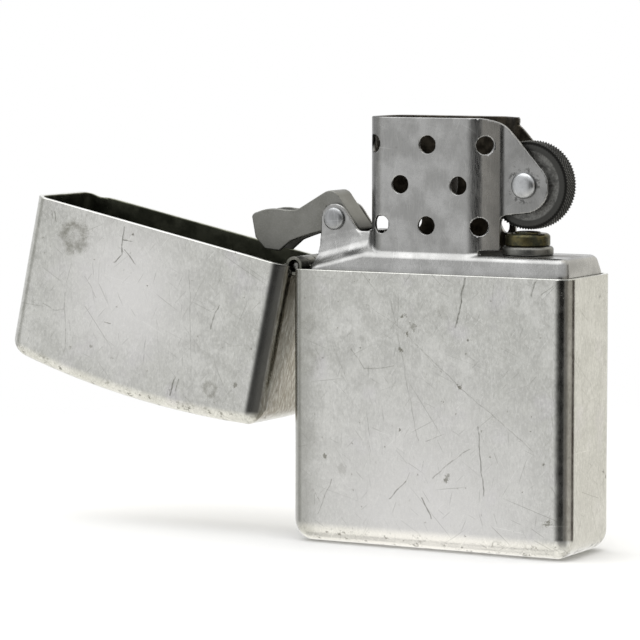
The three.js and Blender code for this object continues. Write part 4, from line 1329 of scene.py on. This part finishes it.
def guard_marks_and_shade(g, point, shade, smudges, inside):
    """The insert's marks and painted light: a broken dark ring round the wheel's rivet, a dark reflection
    painted on the windguard's left bend, painted shade past its right bend, and its burnt inside.
    """
    x = g.math("MULTIPLY_ADD", smudges, 0.8, g.axis(point, 0))
    guard = g.between(g.axis(point, 2), DECK, DECK + 1.5)
    guard = g.times(guard, g.between(g.axis(point, 0), GUARD_LEFT - 0.3, GUARD_LEFT - 0.1))
    # painted reflection: the windguard's left bend is darkened
    left = g.between(x, GUARD_LEFT + 1.5, GUARD_LEFT + 2.8, 0.72, 0.0)
    burnt = g.mix(g.between(g.noise(point, 0.9, 4.0), 0.35, 0.65), inside, scaled(inside, 3))
    return g.layers(
        shade,
        (g.times(rivet_marks(g, point), 0.75), (0.07, 0.07, 0.068)),
        (g.times(left, guard), (0.07, 0.07, 0.068)),
        # painted shade: the windguard darkened past its right bend, towards its ear
        (g.times(g.between(x, 6.5, 8.5, 0.0, 0.32), guard), (0.07, 0.07, 0.066)),
        # soot inside the windguard; between the cam's ears this is painted shade
        (g.mark("inside"), burnt),
    )


def brushed_metal(name, colour, dull, roughness, inside=None):
    """Plain metal with a vertical grain, smudges and a few hair scratches. inside is a burnt tone, which
    between the cam's ears stands in for shade.
    """
    material, g = new_material(name)
    point = g.object_point()
    smudges = g.noise(point, 0.3, 4.0, 0.6)
    grain = g.noise(g.stretched(point, (7, 7, 0.8)), 1.0, 3.0, 0.6)
    fine = g.noise(point, 4.0, 3.0, 0.6)
    kinds = [(90, 30, 1.5, 0.04, 0.6), (30, 60, 3.1, 0.045, 0.5)]
    lines = g.most(hairs(g, point, *kind) for kind in kinds)
    dots = pits(g, point, 1.7, 0.1, 0.3)
    shade = g.layers(
        g.mix(g.between(smudges, 0.36, 0.68), dull, colour),
        (g.between(grain, 0.35, 0.8, 0, 0.22), scaled(colour, 1.4)),
        (g.between(fine, 0.5, 0.8, 0, 0.3), scaled(dull, 0.7)),
        (g.times(lines, 0.3), scaled(colour, 1.7)),
        (g.times(dots, 0.55), scaled(dull, 0.25)),
    )
    rough = g.between(smudges, 0.3, 0.7, roughness + 0.08, roughness)
    rough = g.add(rough, g.between(grain, 0.3, 0.7, 0, 0.08))
    if inside is not None:
        shade = guard_marks_and_shade(g, point, shade, smudges, inside)
        rough = g.add(rough, g.times(g.mark("inside"), 0.2))
    height = g.add(g.times(grain, 0.4), g.times(fine, 0.3))
    height = g.minus(height, g.times(g.most([dots, lines]), 0.4))
    principled(g, shade, 1.0, rough, bump(g, height, 0.008))
    return material


def rivet_marks(g, point):
    """Broken dark marks in a ring round the wheel's rivet, on the ears' outer faces."""
    away = g.away(point, WHEEL[0], WHEEL[2])
    ring = g.fade(g.size(g.minus(away, 1.95)), 0.1, 0.42)
    return g.times(ring, g.between(g.noise(point, 1.5, 3.0, 0.7), 0.52, 0.6))


def sintered_metal(name):
    """The cam's even, matt grey, with painted shade on its heel, over the leaf spring beside the windguard.
    """
    material, g = new_material(name)
    point = g.object_point()
    broad = g.noise(point, 0.35, 3.0)
    grain = g.noise(point, 6.0, 4.0, 0.7)
    dots = pits(g, point, 1.6, 0.12, 0.3)
    heel_painted_shade = g.between(g.axis(point, 2), 38.6, 40.6, 0.9, 0.0)
    shade = g.layers(
        g.mix(g.between(broad, 0.3, 0.7), (0.165, 0.165, 0.15), (0.21, 0.21, 0.195)),
        (g.between(grain, 0.4, 0.75, 0, 0.5), (0.3, 0.3, 0.285)),
        (g.times(dots, 0.8), (0.05, 0.05, 0.045)),
        # painted shade: the cam's heel is darkened nearly to black
        (g.times(heel_painted_shade, g.between(g.axis(point, 0), -14.2, -12.9)), (0.02, 0.02, 0.018)),
    )
    height = g.minus(g.times(grain, 0.5), g.times(dots, 0.6))
    principled(g, shade, 0.85, g.between(grain, 0.3, 0.7, 0.38, 0.52), bump(g, height, 0.01))
    return material


def wheel_metal(name):
    """Charcoal striker steel: dark cuts, bright worn tooth tips and a paler side ring."""
    material, g = new_material(name)
    point = g.object_point()
    tread = g.mark("tread")
    grain = g.noise(point, 5.0, 4.0, 0.7)
    blotches = g.noise(point, 0.8, 5.0, 0.75)
    side = g.layers(
        g.mix(g.between(grain, 0.35, 0.7), (0.13, 0.13, 0.122), (0.25, 0.25, 0.24)),
        (g.between(blotches, 0.45, 0.62, 0.0, 0.6), (0.045, 0.045, 0.042)),
        (g.between(g.away(point, WHEEL[0], WHEEL[2]), 4.1, 4.35), (0.055, 0.055, 0.052)),
    )
    teeth = g.mix(g.between(tread, 0.55, 1.0), (0.01, 0.01, 0.009), (0.2, 0.2, 0.19))
    shade = g.mix(g.between(tread, 0.05, 0.3), side, teeth)
    height = g.times(grain, 0.5)
    principled(g, shade, 0.9, g.between(grain, 0.3, 0.7, 0.36, 0.55), bump(g, height, 0.04))
    return material


def tarnished_brass(name):
    material, g = new_material(name)
    point = g.object_point()
    patches = g.noise(point, 0.8, 5.0, 0.65)
    fine = g.noise(point, 5.0, 3.0)
    shade = g.mix(g.between(patches, 0.35, 0.65), (0.045, 0.047, 0.032), (0.12, 0.105, 0.05))
    shade = g.mix(g.between(fine, 0.5, 0.8, 0, 0.5), shade, (0.02, 0.02, 0.015))
    principled(g, shade, 0.95, g.between(patches, 0.3, 0.7, 0.46, 0.3), bump(g, fine, 0.01))
    return material


def flint_metal(name):
    material, g = new_material(name)
    point = g.object_point()
    grain = g.noise(point, 4.0, 5.0, 0.75)
    shade = g.mix(g.between(grain, 0.3, 0.7), (0.06, 0.057, 0.054), (0.2, 0.19, 0.18))
    principled(g, shade, 0.5, 0.68, bump(g, grain, 0.04))
    return material


def fibres(name, pale, deep, lay, singed=None):
    """Cotton or felt: crossing fibres, soft and rough. singed is the height where scorching starts."""
    material, g = new_material(name)
    point = g.object_point()
    threads = g.noise(g.stretched(point, (5, 5, 0.9), lay), 1.0, 4.0, 0.65)
    cross = g.noise(g.stretched(point, (1.2, 5, 5), (lay[0], lay[1] + 60, lay[2] + 40)), 1.0, 4.0, 0.65)
    both_ways = g.most([threads, cross])
    shade = g.mix(g.between(both_ways, 0.38, 0.72), deep, pale)
    if singed is not None:
        burnt = g.add(g.axis(point, 2), g.times(threads, 1.2))
        shade = g.mix(g.between(burnt, singed, singed + 2.6, 0, 0.93), shade, (0.02, 0.017, 0.014))
    principled(g, shade, 0.0, 0.94, bump(g, both_ways, 0.12), Sheen_Weight=0.25)
    return material


# ---- studio


# What stands round the studio, by azimuth from the front towards +X: where each begins, is full, begins
# to end and ends, in degrees, and its tone.
STRIPS = [
    (-84.0, -76.0, -60.0, -42.0, (0.62, 0.62, 0.6)),
    (-25.0, 10.0, 24.0, 32.0, (0.1, 0.1, 0.095)),
    (12.0, 28.0, 47.0, 59.0, (0.012, 0.012, 0.011)),
    (48.0, 60.0, 112.0, 118.0, (0.56, 0.53, 0.48)),
    (110.0, 116.0, 136.0, 144.0, (0.08, 0.065, 0.055)),
]


def sky():
    """A white studio. The metal mirrors the dark strips in it, and the background itself stays plain."""
    world = bpy.data.worlds.new("studio")
    bpy.context.scene.world = world
    world.use_nodes = True
    g = Graph(world.node_tree, "ShaderNodeOutputWorld")
    way = g.node("ShaderNodeTexCoord", out="Generated")
    x, y, z = (g.axis(way, k) for k in range(3))
    azimuth = g.math("DEGREES", g.math("ARCTAN2", x, g.times(y, -1.0)))
    elevation = g.math("DEGREES", g.math("ARCSINE", z))
    behind = g.size(g.minus(azimuth, 150.0))
    colour = g.mix(g.fade(elevation, -48, -5), (1.0, 1.0, 1.0), (1.5, 1.47, 1.38))
    colour = g.mix(g.fade(behind, 25, 60), colour, (1.15, 1.12, 1.04))
    colour = g.mix(1.0, colour, g.between(elevation, 43, 64, 1.0, 1.7), "MULTIPLY")
    around = g.times(g.fade(elevation, 12, 28), g.between(elevation, -20, -10))
    for start, full, fading, end, tone in STRIPS:
        strip = g.times(g.between(azimuth, start, full), g.fade(azimuth, fading, end))
        colour = g.mix(g.times(strip, around), colour, tone)
    line = g.size(g.add(elevation, 61.0))
    colour = g.mix(g.between(line, 1.0, 3.0, 0.6, 0.0), colour, (0.05, 0.05, 0.06))
    seen = g.node("ShaderNodeLightPath", out="Is Camera Ray")
    glow = g.node("ShaderNodeBackground", g.mix(seen, colour, (1.0, 1.0, 1.0)), 1.0)
    g.tree.links.new(glow, g.end.inputs[0])


def floor():
    """A pale disc that fades out, with the lighter's soft shadow on it."""
    rings = 24
    count = 96
    radius = 0.34
    points = [(0.0, 0.0, 0.0)]
    for i in range(1, rings + 1):
        for angle in 2 * np.pi * np.arange(count) / count:
            points.append((radius * i / rings * math.cos(angle), radius * i / rings * math.sin(angle), 0.0))
    faces = [(0, 1 + k, 1 + (k + 1) % count) for k in range(count)]
    faces += [(a + 1, d + 1, c + 1, b + 1) for a, b, c, d in skin(rings, count)[:-2]]
    mesh = bpy.data.meshes.new("table")
    mesh.from_pydata(points, [], faces)
    mesh.shade_smooth()
    disc = bpy.data.objects.new("table", mesh)
    disc.location.z = -0.00002
    disc.visible_glossy = False
    bpy.context.scene.collection.objects.link(disc)
    material, g = new_material("table")
    place = g.node("ShaderNodeTexCoord", out="Object")
    away = g.vector("LENGTH", place)
    matt = g.node("ShaderNodeBsdfDiffuse", (0.82, 0.82, 0.815, 1))
    clear = g.node("ShaderNodeBsdfTransparent", (1, 1, 1, 1))
    shown = g.node("ShaderNodeMixShader", g.between(away, 0.05, 0.16), matt, clear)
    g.tree.links.new(shown, g.end.inputs[0])
    mesh.materials.append(material)


def camera():
    azimuth, elevation, distance = math.radians(28.64), math.radians(5.1), 444.51
    target = Vector((-18.217, 0, 27.129)) * MM
    level = math.cos(elevation)
    way = Vector((math.sin(azimuth) * level, -math.cos(azimuth) * level, math.sin(elevation)))
    data = bpy.data.cameras.new("camera")
    data.lens = 199.3
    data.sensor_width = 36
    data.clip_start = 0.01
    eye = bpy.data.objects.new("camera", data)
    eye.location = target + distance * MM * way
    eye.rotation_euler = way.to_track_quat("Z", "Y").to_euler()
    bpy.context.scene.collection.objects.link(eye)
    bpy.context.scene.camera = eye


def lamp(name, place, aim, size, power):
    data = bpy.data.lights.new(name, "AREA")
    data.size = size
    data.energy = power
    light = bpy.data.objects.new(name, data)
    light.location = Vector(place)
    light.rotation_euler = (Vector(place) - Vector(aim)).to_track_quat("Z", "Y").to_euler()
    bpy.context.scene.collection.objects.link(light)


# ---- the lighter

# Each last argument is a painted glow: a place on the metal lightened to stand in for light.
lid_metal = case_metal("worn_lid_painted_light", LID_STROKES, LID_STAINS, None, (-43, 30, 13))
body_metal = case_metal("worn_case_painted_light", CASE_STROKES, CASE_STAINS, -15.5, (0, 2, 24))
# The burnt tone: soot inside the windguard, and painted shade between the cam's ears.
burnt = (0.03, 0.026, 0.02)
insert_metal = brushed_metal("insert_steel", (0.385, 0.385, 0.38), (0.285, 0.285, 0.28), 0.2, burnt)
hinge_metal = brushed_metal("hinge_steel", (0.24, 0.24, 0.215), (0.1, 0.1, 0.085), 0.26)
dull_metal = brushed_metal("dull_steel", (0.24, 0.24, 0.225), (0.14, 0.14, 0.13), 0.3)
bright_metal = brushed_metal("rivet_steel", (0.46, 0.47, 0.48), (0.26, 0.265, 0.27), 0.26)
spring_metal = brushed_metal("spring_steel", (0.3, 0.3, 0.29), (0.2, 0.2, 0.19), 0.25)
brass = tarnished_brass("tube_brass")

case_shell(body_metal)
lid_shell(lid_metal)
hinge_half("case_hinge_plate", -1, 1, RIM, hinge_metal)
hinge_half("lid_hinge_plate", 1, 0, LID_RIM, hinge_metal, turned_open)
hinge_pin(spring_metal)
insert_shell(insert_metal)
cam_lever(sintered_metal("cam_steel"))
cam_spring(spring_metal)
rivet("cam_axle", CAM, CAM_EAR_FACE, 0.74, 1.4, 0.6, bright_metal)
rivet("wheel_axle", WHEEL, EAR_FACE, 0.78, 1.6, 0.75, bright_metal)
flint_wheel(wheel_metal("wheel_steel"))
tube_ring("fuel_tube", 1.25, 1.6, 0.1, brass)
tube_ring("tube_washer", TUBE_HOLE, 3.15, 0.25, dull_metal)
tube_ring("tube_ferrule", TUBE_HOLE, 2.75, 0.3, brass)
flint_stone(flint_metal("flint_alloy"))
plunger(brass)
flint_spring(spring_metal)
flint_screw(brass)
wick(fibres("wick_cotton", (0.78, 0.72, 0.6), (0.4, 0.33, 0.24), (0, 30, 0), singed=40))
fillings(
    fibres("cotton", (0.86, 0.84, 0.79), (0.6, 0.57, 0.5), (0, 50, 20)),
    fibres("felt", (0.72, 0.69, 0.63), (0.42, 0.39, 0.35), (90, 20, 0)),
)
kept_rivet = frame["nodes"]["cam_spring_rivet"].data
kept_rivet.materials.clear()
kept_rivet.materials.append(bright_metal)

sky()
floor()
lamp("key", (-0.2, -0.2, 0.75), (0, 0, 0.03), 0.9, 3.0)
camera()
bpy.context.scene.view_settings.view_transform = "Standard"
